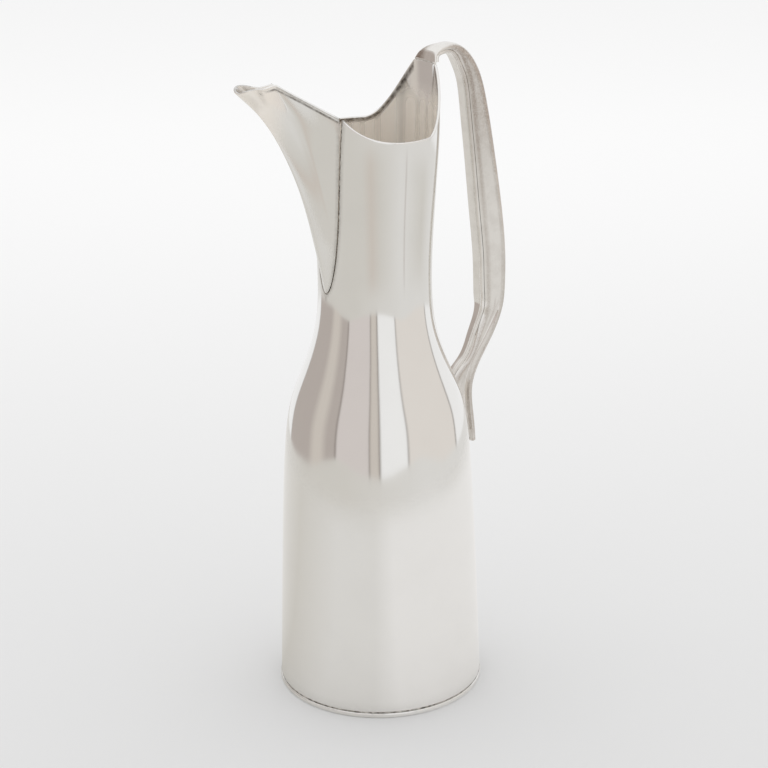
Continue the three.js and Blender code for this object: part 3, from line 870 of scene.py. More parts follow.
@dataclass
class SpoutAssembly:
    """The V-shaped spout with its flared lip, and the solder along its seam."""

    bottle: Bottle
    tip_rise: float = 15.6
    keel_reach: float = 39.0
    keel_nose: float = 0.38
    beak_nose: float = 0.08
    peak: Point = (-51.0, 1.6, 302.9)
    peak_place: float = 0.5
    pinch_depth: float = 75.0
    peak_depth: float = 14.0
    lip_depth: float = 12.0
    curl: float = 0.55
    curl_depth: float = 1.7
    columns: int = 144
    rows: int = 72
    row_power: float = 1.7
    side_share: float = 0.985
    edge_steps: int = 6
    seam_steps: int = 260
    bead_sides: int = 10
    bead_radius: float = 0.42
    bead_wander: float = 0.3
    bead_swell: float = 1.05

    def __post_init__(self) -> None:
        """Draws the keel and the edge of the lip."""
        bottle = self.bottle
        self.radius = bottle.outline()
        self.tip = bottle.throat_top + self.tip_rise
        low = bottle.throat_bottom
        shares = ((0.0, 0.0), (0.25, 0.115), (0.5, 0.245), (0.7, 0.43), (0.86, 0.672), (1.0, 1.0))
        self.keel = SmoothLine([(mix(low, self.tip, up), self.keel_reach * out) for up, out in shares])
        lip = {
            0.0: (-68.9, 0.0, 301.0),
            0.05: (-69.0, 2.6, 301.5),
            0.1: (-68.2, 4.8, 302.4),
            0.15: (-66.5, 6.2, 303.2),
            0.2: (-64.2, 6.3, 303.6),
            0.26: (-61.8, 4.6, 303.2),
            0.31: (-59.8, 3.2, 302.6),
            0.38: (-57.0, 2.1, 302.1),
            0.44: (-54.3, 1.6, 302.4),
            self.peak_place: self.peak,
        }
        self.lip = [SmoothLine([(place, spot[axis]) for place, spot in lip.items()]) for axis in range(3)]
        self.seam_end = self.plain(1.0, 1.0)
        hollow = ((0.0, 0.0), (0.1, 0.6), (0.2, 1.1), (0.3, 1.5), (0.4, 1.75), (0.5, 2.2), (0.62, 4.4),
                  (0.8, 9.7))
        self.beak = SmoothLine([*hollow, (1.0, abs(self.seam_end.y))])
        self.edge = [self.edge_point(i / self.columns) for i in range(self.columns + 1)]

    def neck_point(self, y: float, height: float, inset: float = 0.0) -> Vector:
        """Point on the neck's outer surface, in front."""
        reach = self.radius(height) - inset
        return Vector((-math.sqrt(reach * reach - y * y), y, height))

    def behind_peak(self, place: float) -> float:
        """How far a place lies behind the peak, from 0 to 1 at the seam."""
        return max(abs(place) - self.peak_place, 0.0) / (1.0 - self.peak_place)

    def plain(self, place: float, share: float) -> Vector:
        """Point on the plain V before it is pinched, with a nose that sharpens upwards.

        Args:
            place: From -1 to 1 across the spout, 0 on the keel.
            share: From 0 at the seam to 1 at the pouring edge.

        Returns:
            The point in millimetres.
        """
        bottle = self.bottle
        y, low = bottle.throat_edge(place, bottle.sheet.joint)
        crest = mix(self.tip, self.peak[2], smooth_step(0.0, self.peak_place, abs(place)))
        height = mix(low, mix(crest, bottle.throat_top, self.behind_peak(place)), share)
        width = max(bottle.throat_width(height) - bottle.sheet.joint, abs(y), bottle.sheet.wall)
        nose = mix(self.keel_nose, self.beak_nose, smooth_step(225.0, 285.0, height))
        front = (math.hypot(nose, abs(y) / width) - nose) / (math.hypot(nose, 1.0) - nose)
        keel = -(self.radius(height) + self.keel(height))
        return Vector((mix(keel, self.neck_point(width, height).x, front), y, height))

    def edge_point(self, place: float) -> Vector:
        """Point on the pouring edge: straight from the seam to the peak, then round the lip.

        Args:
            place: From -1 to 1 across the spout, 0 on the keel.

        Returns:
            The point in millimetres.
        """
        behind = self.behind_peak(place)
        spot = Vector([line(min(abs(place), self.peak_place)) for line in self.lip])
        spot = spot.lerp(Vector((self.seam_end.x, abs(self.seam_end.y), self.seam_end.z)), behind)
        return Vector((spot.x, math.copysign(spot.y, place), spot.z))

    def pressed(self, place: float, share: float) -> Vector:
        """Point on the V with its flanks pinched towards the edge and its lip pressed out.

        Args:
            place: From -1 to 1 across the spout, 0 on the keel.
            share: From 0 at the seam to 1 at the pouring edge.

        Returns:
            The point in millimetres.
        """
        base = self.plain(place, share)
        top = self.plain(place, 1.0)
        drop = top.z - base.z
        length = top.z - self.plain(place, 0.0).z
        back = smooth_step(0.2, 0.6, abs(place))

        def fade(depth: float, power: float) -> float:
            """Share of a pressing move that is left below the edge."""
            return max(1.0 - drop / min(depth, length), 0.0) ** power

        beak = Vector((top.x, math.copysign(self.beak(abs(place)), place), top.z))
        pinch = (beak - top) * fade(self.pinch_depth, 1.3)
        bowl = 1.0 - smooth_step(0.0, self.lip_depth, drop)
        flare = self.edge_point(place) - beak
        return base + pinch + flare * mix(bowl, fade(self.peak_depth, 1.25), back)

    @staticmethod
    def square_to(surface: Callable[[float, float], Vector], place: float, share: float) -> Vector:
        """Outward normal of a surface of the spout.

        Args:
            surface: Point of the surface for a place across and a share along.
            place: From -1 to 1 across the spout, 0 on the keel.
            share: From 0 at the seam to 1 at the pouring edge.

        Returns:
            The normal.
        """
        step = 1e-3
        across = surface(place + step, share) - surface(place - step, share)
        along = surface(place, min(share + step, 1.0)) - surface(place, max(share - step, 0.0))
        return along.cross(across).normalized()

    def point(self, place: float, share: float) -> Vector:
        """Point on the spout's outer surface, which curls out a little at the pouring edge.

        Args:
            place: From -1 to 1 across the spout, 0 on the keel.
            share: From 0 at the seam to 1 at the pouring edge.

        Returns:
            The point in millimetres.
        """
        spot = self.pressed(place, share)
        drop = self.plain(place, 1.0).z - self.plain(place, share).z
        if drop >= self.curl_depth:
            return spot
        level = max(share - self.curl_depth / 60.0, 0.0)
        curl = self.curl * smooth_step(0.12, 0.3, abs(place)) * (1.0 - drop / self.curl_depth) ** 2
        return spot + self.square_to(self.pressed, place, level) * curl

    def normal(self, place: float, share: float) -> Vector:
        """Outward normal of the spout's outer surface."""
        return self.square_to(self.point, place, share)

    def shell(self) -> bpy.types.Object:
        """Spout with its wall and a rounded pouring edge.

        Returns:
            The spout.
        """
        wall = self.bottle.sheet.wall
        turn_end = self.rows + self.edge_steps
        total = turn_end + self.rows + 1

        def place(across: float, along: float) -> Point:
            """Point of the wall for a share across and a share up the outside and down the inside."""
            column = self.side_share * signed_power(2.0 * across - 1.0, 1.25)
            row = round(along * total)
            if row in (0, total):
                return tuple(self.point(column, 0.0))
            if row <= self.rows:
                return tuple(self.point(column, 1.0 - (1.0 - row / self.rows) ** self.row_power))
            if row >= turn_end:
                share = 1.0 - ((row - turn_end) / self.rows) ** self.row_power
                return tuple(self.point(column, share) - self.normal(column, share) * wall)
            turn = math.pi * (row - self.rows) / self.edge_steps
            edge = self.point(column, 1.0)
            inward = self.normal(column, 1.0) * -wall
            rise = (edge - self.point(column, 0.99)).normalized() * wall * 0.5
            return tuple(edge + inward * (0.5 - 0.5 * math.cos(turn)) + rise * math.sin(turn))

        return Bench.lofted("pouring_spout", self.columns, total, place)

    def seam(self) -> bpy.types.Object:
        """Bead of solder of uneven thickness along the throat.

        Returns:
            The bead.
        """
        bottle = self.bottle
        middle = bottle.sheet.joint / 2.0

        def place(across: float, along: float) -> Point:
            """Point of the bead for a share round its section and a share along the throat."""
            spot = signed_power(2.0 * along - 1.0, 1.2)
            turn = math.tau * across
            y, height = bottle.throat_edge(spot, middle)
            swell = self.bead_radius * (1.0 + self.bead_wander * noise.noise(Vector((y, height, 0.0)) * 0.9))
            shift = middle + swell * self.bead_swell * math.cos(turn)
            y, height = bottle.throat_edge(spot, shift)
            inset = bottle.sheet.wall * 0.5 - swell * self.bead_swell * math.sin(turn)
            return tuple(self.neck_point(y, height, inset))

        piece = Bench.lofted("spout_solder_bead", self.bead_sides, self.seam_steps, place)
        Bench.smooth(piece, 60.0)
        Bench.write_point_share(piece, self.polish, "polish")
        return piece

    def polish(self, point: Vector, square: Vector) -> float:
        """Polish of the solder, which is clean near the throat's lowest point."""
        low = self.bottle.throat_bottom
        return smooth_step(low + 26.0, low + 6.0, point.z)

    def tarnish_and_shade(self, point: Vector, square: Vector) -> float:
        """Tarnish along the seam, a painted dark reflection just under the pouring edge, and darker upward
        faces in the bowl of the lip.

        Args:
            point: Point of the surface, in millimetres.
            square: Its normal.

        Returns:
            The tarnish from 0 to 1.
        """
        away = self.bottle.throat_width(point.z) - self.bottle.sheet.joint - abs(point.y)
        seam = 0.35 * smooth_step(1.5, 0.0, away) * smooth_step(-6.0, 2.0, point.x + 34.0)
        if point.z < self.bottle.throat_top - 4.0:
            return seam
        near = Vector((point.x, abs(point.y), point.z))
        gap = min((spot - near).length for spot in self.edge)
        # Painted dark reflection in a line just under the pouring edge, on faces that turn downwards.
        line = 0.85 * smooth_step(0.5, 0.9, gap) * smooth_step(2.0, 1.3, gap)
        line *= smooth_step(0.25, 0.05, square.z) * smooth_step(-58.0, -53.0, point.x)
        # Darker on upward faces in the bowl of the lip.
        bowl = 0.4 * smooth_step(-55.0, -62.0, point.x) * smooth_step(0.1, 0.5, square.z)
        return max(seam, line, bowl)

    def painted_reflection(self, point: Vector, square: Vector) -> float:
        """Painted pale reflection under the flared lip, shaded satin, left off where the spout is darkened."""
        pale_share = 0.75 * smooth_step(-44.0, -56.0, point.x) * smooth_step(0.5, 0.2, square.z)
        return pale_share * (1.0 - min(self.tarnish_and_shade(point, square), 1.0))

    def build(self, shop: Workshop) -> None:
        """Builds and signs off the spout and its seam."""
        shell = self.shell()
        Bench.smooth(shell, 50.0)
        # Seam tarnish with a painted dark reflection under the edge, then the painted pale reflection under the
        # lip.
        Bench.write_point_share(shell, self.tarnish_and_shade)
        Bench.write_point_share(shell, self.painted_reflection, "painted_reflection")
        shop.sign_off(shell, Seat.BODY, "spout")
        shop.sign_off(self.seam(), Seat.SOLDER, "spout_solder_seam")


@dataclass(frozen=True)
class Station:
    """A place on the handle's back: its position, depth and half-widths, in millimetres."""

    x: float
    z: float
    depth: float
    inner: float
    waist: float
    outer: float


@dataclass
class HandleAssembly:
    """The hollow handle: channel, inner plate, tail cap and its solder."""

    bottle: Bottle
    arch_rise: float = 6.8
    arch_reach: float = 12.7
    reach: float = 73.0
    reach_height: float = 205.0
    bend_drop: float = 32.0
    bend_inset: float = 4.3
    foot_drop: float = 30.0
    tail_length: float = 29.0
    tail_stand: float = 9.9
    tail_flare: float = 1.6
    root_depth: float = 3.3
    grip_depth: float = 14.4
    foot_depth: float = 8.6
    root_half_width: float = 8.4
    arch_half_width: float = 4.9
    grip_half_width: float = 5.2
    tail_half_width: float = 6.0
    inner_half_width: float = 3.8
    foot_inner_half_width: float = 2.3
    back_band: float = 4.0
    tail_waist: float = 3.8
    rings: int = 220
    sides: int = 56
    plate_sides: int = 48
    plate_bulge: float = 0.9
    lines: dict[str, SmoothLine] = field(default_factory=dict)
    travel: list[float] = field(default_factory=list)

    def __post_init__(self) -> None:
        """Draws the smooth lines through the stations."""
        stations = self.stations()
        self.travel = [0.0]
        for here, there in zip(stations, stations[1:]):
            self.travel.append(self.travel[-1] + math.hypot(there.x - here.x, there.z - here.z))
        for name in ("x", "z", "depth", "inner", "waist", "outer"):
            knots = [(at, getattr(item, name)) for at, item in zip(self.travel, stations)]
            self.lines[name] = SmoothLine(knots)
        self.back = [(self.at("x", at), self.at("z", at), at) for at in range(int(self.length) + 1)]

    @property
    def length(self) -> float:
        """Length of the handle's back."""
        return self.travel[-1]

    @property
    def shell_end(self) -> float:
        """Where the channel stops before the tail cap."""
        return self.length - self.bottle.sheet.handle_wall

    def stations(self) -> list[Station]:
        """Stations from the root on the tongue to the flat-cut end of the tail.

        Returns:
            The stations in order.
        """
        bottle = self.bottle
        radius = bottle.outline()
        wall = bottle.sheet.wall
        root_x = radius(bottle.tongue_top) - wall
        root_z = bottle.tongue_top + bottle.sheet.joint
        bend_x = self.reach - self.bend_inset
        bend_z = self.reach_height - self.bend_drop
        tail_z = bend_z - self.foot_drop
        grip_waist = self.grip_half_width * 0.96

        def arch(along: float, up: float, deep: float, narrow: float) -> Station:
            """Station on the arch, by shares of its reach, rise, depth and narrowing."""
            outer = mix(self.root_half_width, self.arch_half_width, narrow)
            inner = mix(self.root_half_width, self.inner_half_width, narrow)
            depth = mix(self.root_depth, self.grip_depth, deep)
            return Station(root_x + self.arch_reach * along, root_z + self.arch_rise * up, depth, inner,
                           outer * 0.97, outer)

        end = arch(2.5, -3.15, 0.7, 1.0)

        def grip(across: float, down: float, deep: float) -> Station:
            """Station on the grip, by shares of the way from the arch's end to the reach."""
            return Station(mix(end.x, self.reach, across), mix(end.z, self.reach_height, down),
                           self.grip_depth * deep, self.inner_half_width, grip_waist, self.grip_half_width)

        def bend(inset: float, down: float, deep: float) -> Station:
            """Station between the reach and the bend, by shares of the bend's inset and drop."""
            return Station(self.reach - self.bend_inset * inset, mix(self.reach_height, bend_z, down),
                           self.grip_depth * deep, self.inner_half_width, grip_waist, self.grip_half_width)

        def tail(down: float, flare: float) -> Station:
            """Station on the tail, which stands off the body, by shares of its length and flare."""
            height = tail_z - self.tail_length * down
            stand = self.tail_stand + self.tail_flare * flare
            return Station(radius(height) + stand, height, stand + wall, self.foot_inner_half_width,
                           self.tail_waist, self.tail_half_width)

        tail_top = tail(0.0, 1.0)

        def foot(across: float, down: float, share: float) -> Station:
            """Station between the bend and the tail, with a share of the way between their sections."""
            return Station(mix(bend_x, tail_top.x, across), mix(bend_z, tail_z, down),
                           mix(self.grip_depth, self.foot_depth, share),
                           mix(self.inner_half_width, self.foot_inner_half_width, share),
                           mix(grip_waist, self.tail_waist, share),
                           mix(self.grip_half_width, self.tail_half_width, share))

        arches = [arch(0.0, 0.0, -0.09, 0.0), arch(0.06, 0.43, -0.06, 0.38), arch(0.32, 0.82, 0.0, 0.78),
                  arch(0.67, 0.96, 0.03, 0.95), arch(1.0, 1.0, 0.13, 1.0), arch(1.39, 0.75, 0.28, 1.0),
                  arch(1.76, 0.15, 0.42, 1.0), arch(2.13, -0.92, 0.53, 1.0), end]
        grips = [grip(0.43, 0.34, 0.9), grip(0.78, 0.66, 1.0), grip(1.0, 1.0, 1.0)]
        bends = [bend(0.02, 0.4, 0.97), bend(0.28, 0.75, 0.89)]
        feet = [foot(0.0, 0.0, 0.55), foot(0.42, 0.38, 0.85), foot(0.8, 0.7, 1.0)]
        tails = [tail_top, tail(0.27, 0.0), tail(0.6, 0.0), tail(1.0, 0.0)]
        return arches + grips + bends + feet + tails

    def at(self, name: str, distance: float) -> float:
        """A station value at a distance along the back."""
        return self.lines[name](distance)

    def to_space(self, distance: float, depth: float, width: float) -> Point:
        """Point in space of a place in the handle's section.

        Args:
            distance: Distance along the back.
            depth: Depth from the back.
            width: Distance from the symmetry plane.

        Returns:
            The point in millimetres.
        """
        step = 0.05
        along = Vector((self.at("x", distance + step) - self.at("x", distance - step),
                        self.at("z", distance + step) - self.at("z", distance - step))).normalized()
        upright = max(1.0 - distance / self.travel[1], 0.0)
        along = along.lerp(Vector((0.0, 1.0)), upright).normalized()
        radius = self.bottle.rim[1]
        curl = max(1.0 - distance / self.travel[3], 0.0) / (2.0 * radius)
        return (self.at("x", distance) + along.y * depth - curl * width * width, width,
                self.at("z", distance) - along.x * depth)

    def outline(self, distance: float, open_depth: float, wall: float) -> list[tuple[float, float]]:
        """Outline of the channel from one open edge round the back to the other.

        Args:
            distance: Distance along the back.
            open_depth: Depth of the open edges.
            wall: Thickness taken off inside.

        Returns:
            Depth and width of the outline's turning points.
        """
        band = min(self.back_band, open_depth * 0.75)
        inner, waist, outer = (self.at(name, distance) for name in ("inner", "waist", "outer"))
        half = [
            (open_depth, inner),
            (mix(open_depth, band, 0.25), mix(inner, waist, 0.55)),
            (mix(open_depth, band, 0.6), mix(inner, waist, 0.92)),
            (band, waist),
            (band * 0.75, outer),
            (band * 0.3, outer * 0.93),
            (band * 0.06, outer * 0.6),
            (0.0, 0.0),
        ]
        lowered = [(wall + depth * (open_depth - wall) / open_depth, max(width - wall, width * 0.3))
                   for depth, width in half]
        return lowered + [(depth, -width) for depth, width in lowered[-2::-1]]

    @staticmethod
    def traced(outline: Sequence[tuple[float, float]], share: float) -> tuple[float, float]:
        """Point of a softly rounded outline at a share of the way along it.

        Args:
            outline: Turning points.
            share: From 0 to 1.

        Returns:
            Depth and width.
        """
        last = len(outline) - 1
        spot = share * last
        i = min(int(spot), last - 1)
        t = spot - i
        points = [Vector(outline[min(max(k, 0), last)]) for k in (i - 1, i, i + 1, i + 2)]
        before, here, there, after = points
        tension = 0.36
        leave = (there - before) * tension
        arrive = (after - here) * tension
        from_here = 2 * t ** 3 - 3 * t ** 2 + 1
        to_there = 3 * t ** 2 - 2 * t ** 3
        leaving = t ** 3 - 2 * t ** 2 + t
        arriving = t ** 3 - t ** 2
        traced = here * from_here + leave * leaving + there * to_there + arrive * arriving
        return traced.x, traced.y

    def channel(self) -> bpy.types.Object:
        """Channel of the handle: back, sides and tail.

        Returns:
            The channel, trimmed to the body.
        """
        wall = self.bottle.sheet.handle_wall

        def place(across: float, along: float) -> Point:
            """Point of the wall for a share round its section and a share along the handle."""
            distance = self.shell_end * along
            open_depth = self.at("depth", distance) - wall
            if across <= 0.7:
                depth, width = self.traced(self.outline(distance, open_depth, 0.0), across / 0.7)
            elif across < 0.999:
                share = min(max(1.0 - (across - 0.72) / 0.28, 0.0), 1.0)
                depth, width = self.traced(self.outline(distance, open_depth, wall), share)
            else:
                depth, width = self.outline(distance, open_depth, 0.0)[0]
            return self.to_space(distance, depth, width)

        piece = Bench.lofted("handle_back_channel", self.sides, self.rings, place)
        Bench.cut(piece, self.envelope(self.bottle.sheet.clearance))
        return piece

    def plate(self) -> bpy.types.Object:
        """Flat plate with rounded edges on the inner side of the channel.

        Returns:
            The plate, trimmed to the body.
        """
        wall = self.bottle.sheet.handle_wall

        def place(across: float, along: float) -> Point:
            """Point of the strip for a share round its section and a share along the handle."""
            distance = self.shell_end * along
            depth = self.at("depth", distance) - wall / 2.0
            turn = math.tau * across
            cosine, sine = math.cos(turn), math.sin(turn)
            squared = 0.5 if sine > 0.0 else 0.2
            width = self.at("inner", distance) * signed_power(cosine, squared)
            lift = wall / 2.0 * signed_power(sine, squared) + self.plate_bulge * max(sine, 0.0)
            return self.to_space(distance, depth + lift, width)

        piece = Bench.lofted("handle_inner_strip", self.plate_sides, self.rings, place)
        Bench.cut(piece, self.envelope(self.bottle.sheet.clearance))
        return piece

    def block(self, name: str, start: float, end: float, grow: float, rings: int) -> bpy.types.Object:
        """Filled stretch of the handle.

        Args:
            name: Name of the piece.
            start: Distance along the back where it starts.
            end: Distance where it ends.
            grow: Extra width all round.
            rings: Divisions along.

        Returns:
            The stretch.
        """
        def place(across: float, along: float) -> Point:
            """Point of the surface for a share round the section and a share along the stretch."""
            distance = mix(start, end, along)
            outline = self.outline(distance, self.at("depth", distance), -grow)
            outline.append(outline[0])
            depth, width = self.traced(outline, across)
            return self.to_space(distance, depth, width)

        return Bench.lofted(name, self.sides, rings, place)

    def envelope(self, gap: float) -> bpy.types.Object:
        """The body's surface with a gap round it, for trimming the handle's foot.

        Args:
            gap: Distance off the body.

        Returns:
            The turned form.
        """
        radius = self.bottle.outline()
        low = self.reach_height - self.bend_drop - self.foot_drop - self.tail_length - self.tail_stand
        high = self.reach_height - self.bend_drop
        heights = [mix(low, high, i / 40) for i in range(41)]
        outline = [(0.0, low)] + [(radius(height) + gap, height) for height in heights] + [(0.0, high)]
        return Bench.spun("body_envelope", outline, 144, closed=False)

    def foot_solder(self) -> bpy.types.Object:
        """Collar of solder round the handle's foot on the body.

        Returns:
            The collar.
        """
        sheet = self.bottle.sheet
        start = self.travel[14]
        piece = self.block("handle_foot_fillet", start, self.shell_end, 0.45, 60)
        Bench.cut(piece, self.envelope(sheet.clearance * 0.2))
        Bench.cut(piece, self.envelope(sheet.clearance + sheet.solder), "INTERSECT")
        Bench.rounded(piece, 0.2, 2, 50.0)
        Bench.smooth(piece, 60.0)
        return piece

    def root_solder(self) -> bpy.types.Object:
        """Strip of solder between the tongue and the handle's root.

        Returns:
            The strip.
        """
        bottle = self.bottle
        outside = bottle.outline()(bottle.tongue_top)
        wall = bottle.sheet.wall
        low, high = bottle.tongue_top - 0.05, bottle.tongue_top + bottle.sheet.joint + 0.05

        def place(across: float, along: float) -> Point:
            """Point of the strip for a share round its section and a share across the tongue."""
            turn = math.tau * across
            cosine, sine = math.cos(turn), math.sin(turn)
            squared = 0.3
            y = (self.root_half_width - 0.5) * (2.0 * along - 1.0)
            reach = outside - wall / 2.0 + wall * 0.48 * signed_power(cosine, squared)
            height = mix(low, high, 0.5 + 0.5 * signed_power(sine, squared))
            return math.sqrt(reach * reach - y * y), y, height

        piece = Bench.lofted("handle_root_strip", 20, 40, place)
        Bench.smooth(piece, 50.0)
        return piece

    def tarnish_and_shade(self, point: Vector, square: Vector) -> float:
        """Tarnish and painted shade of the handle: a slight even tarnish, painted shade streaks along the sides
        and a painted darker reflection on the arch's top, darker towards the foot, and a painted dark
        reflection on the far side of the root.

        Args:
            point: Point of the surface, in millimetres.
            square: Its normal.

        Returns:
            The tarnish and painted shade from 0 to 1.
        """
        depth, distance = min((math.hypot(point.x - x, point.z - z), at) for x, z, at in self.back)
        edge = self.at("depth", distance) - self.bottle.sheet.handle_wall - depth
        # The painted shade streaks and the arch's painted reflection show only on sideways faces.
        side = smooth_step(0.2, 0.7, abs(square.y))
        # Painted darker reflection on the arch's top.
        top = 0.38 * smooth_step(225.0, 285.0, point.z) * smooth_step(34.0, 50.0, point.x)
        # Painted shade streaks beside the open edge and towards the back.
        inner_shade_streak = 0.36 * smooth_step(0.7, 1.2, edge) * smooth_step(3.4, 2.2, edge)
        outer_shade_streak = 0.3 * smooth_step(4.4, 2.8, depth)
        # Darker towards the foot.
        foot = 0.14 * smooth_step(185.0, 150.0, point.z)
        root = smooth_step(self.travel[4], self.travel[2], distance)
        # Painted dark reflection on the far side of the root, on faces turned towards the spout.
        shade = 0.9 * root * smooth_step(1.0, 5.0, point.y) * smooth_step(0.1, -0.4, square.x)
        painted_streaks = max(inner_shade_streak, outer_shade_streak) * (1.0 - root)
        return min(0.04 + side * (top + painted_streaks) + foot + shade, 1.0)

    def build(self, shop: Workshop) -> None:
        """Builds and signs off the pieces of the handle."""
        for piece, node, angle in (
            (self.channel(), "handle_channel", 50.0),
            (self.plate(), "handle_inner_plate", 50.0),
            (self.tail_cap(), "handle_tail_cap", 40.0),
        ):
            Bench.smooth(piece, angle)
            # Tarnish with painted shade streaks and painted dark reflections.
            Bench.write_point_share(piece, self.tarnish_and_shade)
            shop.sign_off(piece, Seat.HANDLE, node)
        shop.sign_off(self.root_solder(), Seat.SOLDER, "handle_root_solder", shop.polished_solder)
        shop.sign_off(self.foot_solder(), Seat.SOLDER, "handle_foot_solder")

    def tail_cap(self) -> bpy.types.Object:
        """Plate that closes the flat-cut tail, with a softened edge.

        Returns:
            The cap, trimmed to the body.
        """
        piece = self.block("handle_tail_plate", self.shell_end, self.length, 0.0, 2)
        Bench.cut(piece, self.envelope(self.bottle.sheet.clearance))
        Bench.rounded(piece, 0.3, 3, 50.0)
        return piece


@dataclass
class Studio:
    """Pale floor, soft light, the panels that the silver mirrors, and the camera."""

    camera_place: Point = (-0.4843, -0.77505, 0.48594)
    camera_pitch: float = 20.0321
    camera_roll: float = -0.81279
    camera_yaw: float = -0.22751
    focal_pixels: float = 2035.815
    frame_pixels: int = 768
    sensor: float = 36.0
    floor_half: float = 6.0
    table_near: float = 0.31
    table_end: float = 0.44
    hem_softness: float = 0.009
    light_strength: float = 0.92
    ceiling: Point = (0.97, 0.97, 0.97)
    # Painted light falloff in the floor's colour: lighter at the back, darker at the front.
    lit_floor_back: Point = (0.98, 0.98, 0.98)
    shaded_floor_front: Point = (0.76, 0.76, 0.76)

    def heading(self) -> float:
        """Direction in which the camera looks, as an angle about Z."""
        return math.atan2(-self.camera_place[1], -self.camera_place[0]) + math.radians(self.camera_yaw)

    def camera(self) -> None:
        """Sets up the camera at the photograph's viewing angle."""
        heading, pitch = self.heading(), math.radians(self.camera_pitch)
        roll = math.radians(self.camera_roll)
        ahead = math.cos(pitch)
        forward = Vector((math.cos(heading) * ahead, math.sin(heading) * ahead, -math.sin(pitch)))
        level = forward.cross(Vector((0.0, 0.0, 1.0))).normalized()
        upward = level.cross(forward)
        right = level * math.cos(roll) + upward * math.sin(roll)
        top = upward * math.cos(roll) - level * math.sin(roll)
        data = bpy.data.cameras.new("photo_camera")
        data.sensor_width = self.sensor
        data.lens = self.focal_pixels / self.frame_pixels * self.sensor
        data.clip_start = 0.01
        camera = bpy.data.objects.new("photo_camera", data)
        turned = Matrix((right, top, -forward)).transposed()
        camera.matrix_world = Matrix.Translation(self.camera_place) @ turned.to_4x4()
        bpy.context.scene.collection.objects.link(camera)
        bpy.context.scene.camera = camera

    @staticmethod
    def panels() -> Tones:
        """Tones of the standing panels from left to right, by angle from the camera's side in degrees."""
        return [
            (-180.0, Card.WHITE), (-138.0, Card.WHITE),
            (-137.0, Card.GAP),
            (-136.0, Card.TAUPE), (-95.0, Card.TAUPE),
            (-85.0, Card.SAND), (-75.0, Card.SAND),
            (-65.0, Card.TAUPE), (-55.0, Card.TAUPE),
            (-53.0, Card.GAP),
            (-51.0, Card.ROSE), (-11.0, Card.ROSE),
            (-9.5, Card.GAP),
            (-8.0, Card.SAND), (1.0, Card.SAND),
            (3.0, Card.GAP),
            (5.0, Card.WHITE), (37.0, Card.WHITE),
            (38.5, Card.GAP),
            (40.0, Card.CREAM), (113.0, Card.CREAM),
            (115.0, Card.GAP),
            (117.0, Card.WHITE), (180.0, Card.WHITE),
        ]

    @staticmethod
    def hems() -> list[tuple[float, float]]:
        """Heights of the panels' lower edges by angle from the camera's side, both in degrees."""
        return [
            (-180.0, -17.0), (-118.0, -16.2), (-78.0, -13.8), (-56.0, -11.0), (-48.0, -10.6),
            (-30.0, -11.8), (-2.0, -13.0), (20.0, -12.6), (42.0, -11.2), (56.0, -10.8),
            (83.0, -14.0), (113.0, -15.0), (180.0, -16.0),
        ]

    @staticmethod
    def far_tones() -> Tones:
        """Tones of the table just below the panels, by angle from the camera's side in degrees."""
        return [
            (-180.0, Card.PAPER), (-100.0, Card.DIM_PAPER), (-40.0, Card.DIM_PAPER),
            (60.0, Card.PAPER), (180.0, Card.PAPER),
        ]

    @staticmethod
    def low_tones() -> Tones:
        """Tones of the table's middle, which the neck mirrors, by angle from the camera's side in degrees."""
        return [
            (-180.0, Card.PAPER), (-60.0, Card.DIM_PAPER), (-20.0, Card.DIM_PAPER),
            (-4.0, Card.SAND), (12.0, Card.DIM_PAPER), (50.0, Card.PAPER),
            (60.0, Card.PAPER), (61.5, Card.TAUPE), (63.0, Card.PAPER),
            (105.0, Card.DIM_PAPER), (130.0, Card.PAPER), (180.0, Card.PAPER),
        ]

    @staticmethod
    def near_tones() -> Tones:
        """Tones of the paper close to the pitcher, by angle from the camera's side in degrees."""
        return [
            (-180.0, Card.BRIGHT_PAPER), (-100.0, Card.DIM_PAPER), (-45.0, Card.PAPER),
            (-5.0, Card.PAPER), (15.0, Card.BRIGHT_PAPER), (180.0, Card.BRIGHT_PAPER),
        ]

    @staticmethod
    def ramp(bench: NodeBench, tones: list[tuple[float, Point]], share: bpy.types.NodeSocket) -> bpy.types.Node:
        """Colour ramp over the angle from the camera's side.

        Args:
            bench: Where the nodes are added.
            tones: Angles in degrees with their colours, in rising order.
            share: Output that gives the angle as a share of the full turn.

        Returns:
            The ramp's node.
        """
        node = bench.add("ValToRGB", {"Fac": share})
        stops = node.color_ramp.elements
        for degrees, colour in tones[1:-1]:
            stops.new((degrees + 180.0) / 360.0).color = (*colour, 1.0)
        stops[0].color = (*tones[0][1], 1.0)
        stops[len(stops) - 1].color = (*tones[-1][1], 1.0)
        return node

    def toned(self, bench: NodeBench, tones: Tones, share: bpy.types.NodeSocket) -> bpy.types.NodeSocket:
        """Output with the colour of the cards or the paper at the angle."""
        return self.ramp(bench, [(at, card.value) for at, card in tones], share).outputs["Color"]

    def bearing(self, bench: NodeBench, way: str) -> tuple[bpy.types.Node, bpy.types.NodeSocket]:
        """Turns the coordinates to the camera's side and measures the angle from it.

        Args:
            bench: Where the nodes are added.
            way: Name of the coordinates.

        Returns:
            The turned coordinates' node and the output with the angle as a share of the full turn.
        """
        place = bench.add("TexCoord", {}).outputs[way]
        turned = bench.add("Mapping", {"Vector": place, "Rotation": (0.0, 0.0, -(self.heading() + math.pi))})
        split = bench.add("SeparateXYZ", {"Vector": turned.outputs["Vector"]})
        angle = bench.maths("ARCTAN2", split.outputs["Y"], split.outputs["X"])
        return split, bench.span(angle, -math.pi, math.pi)

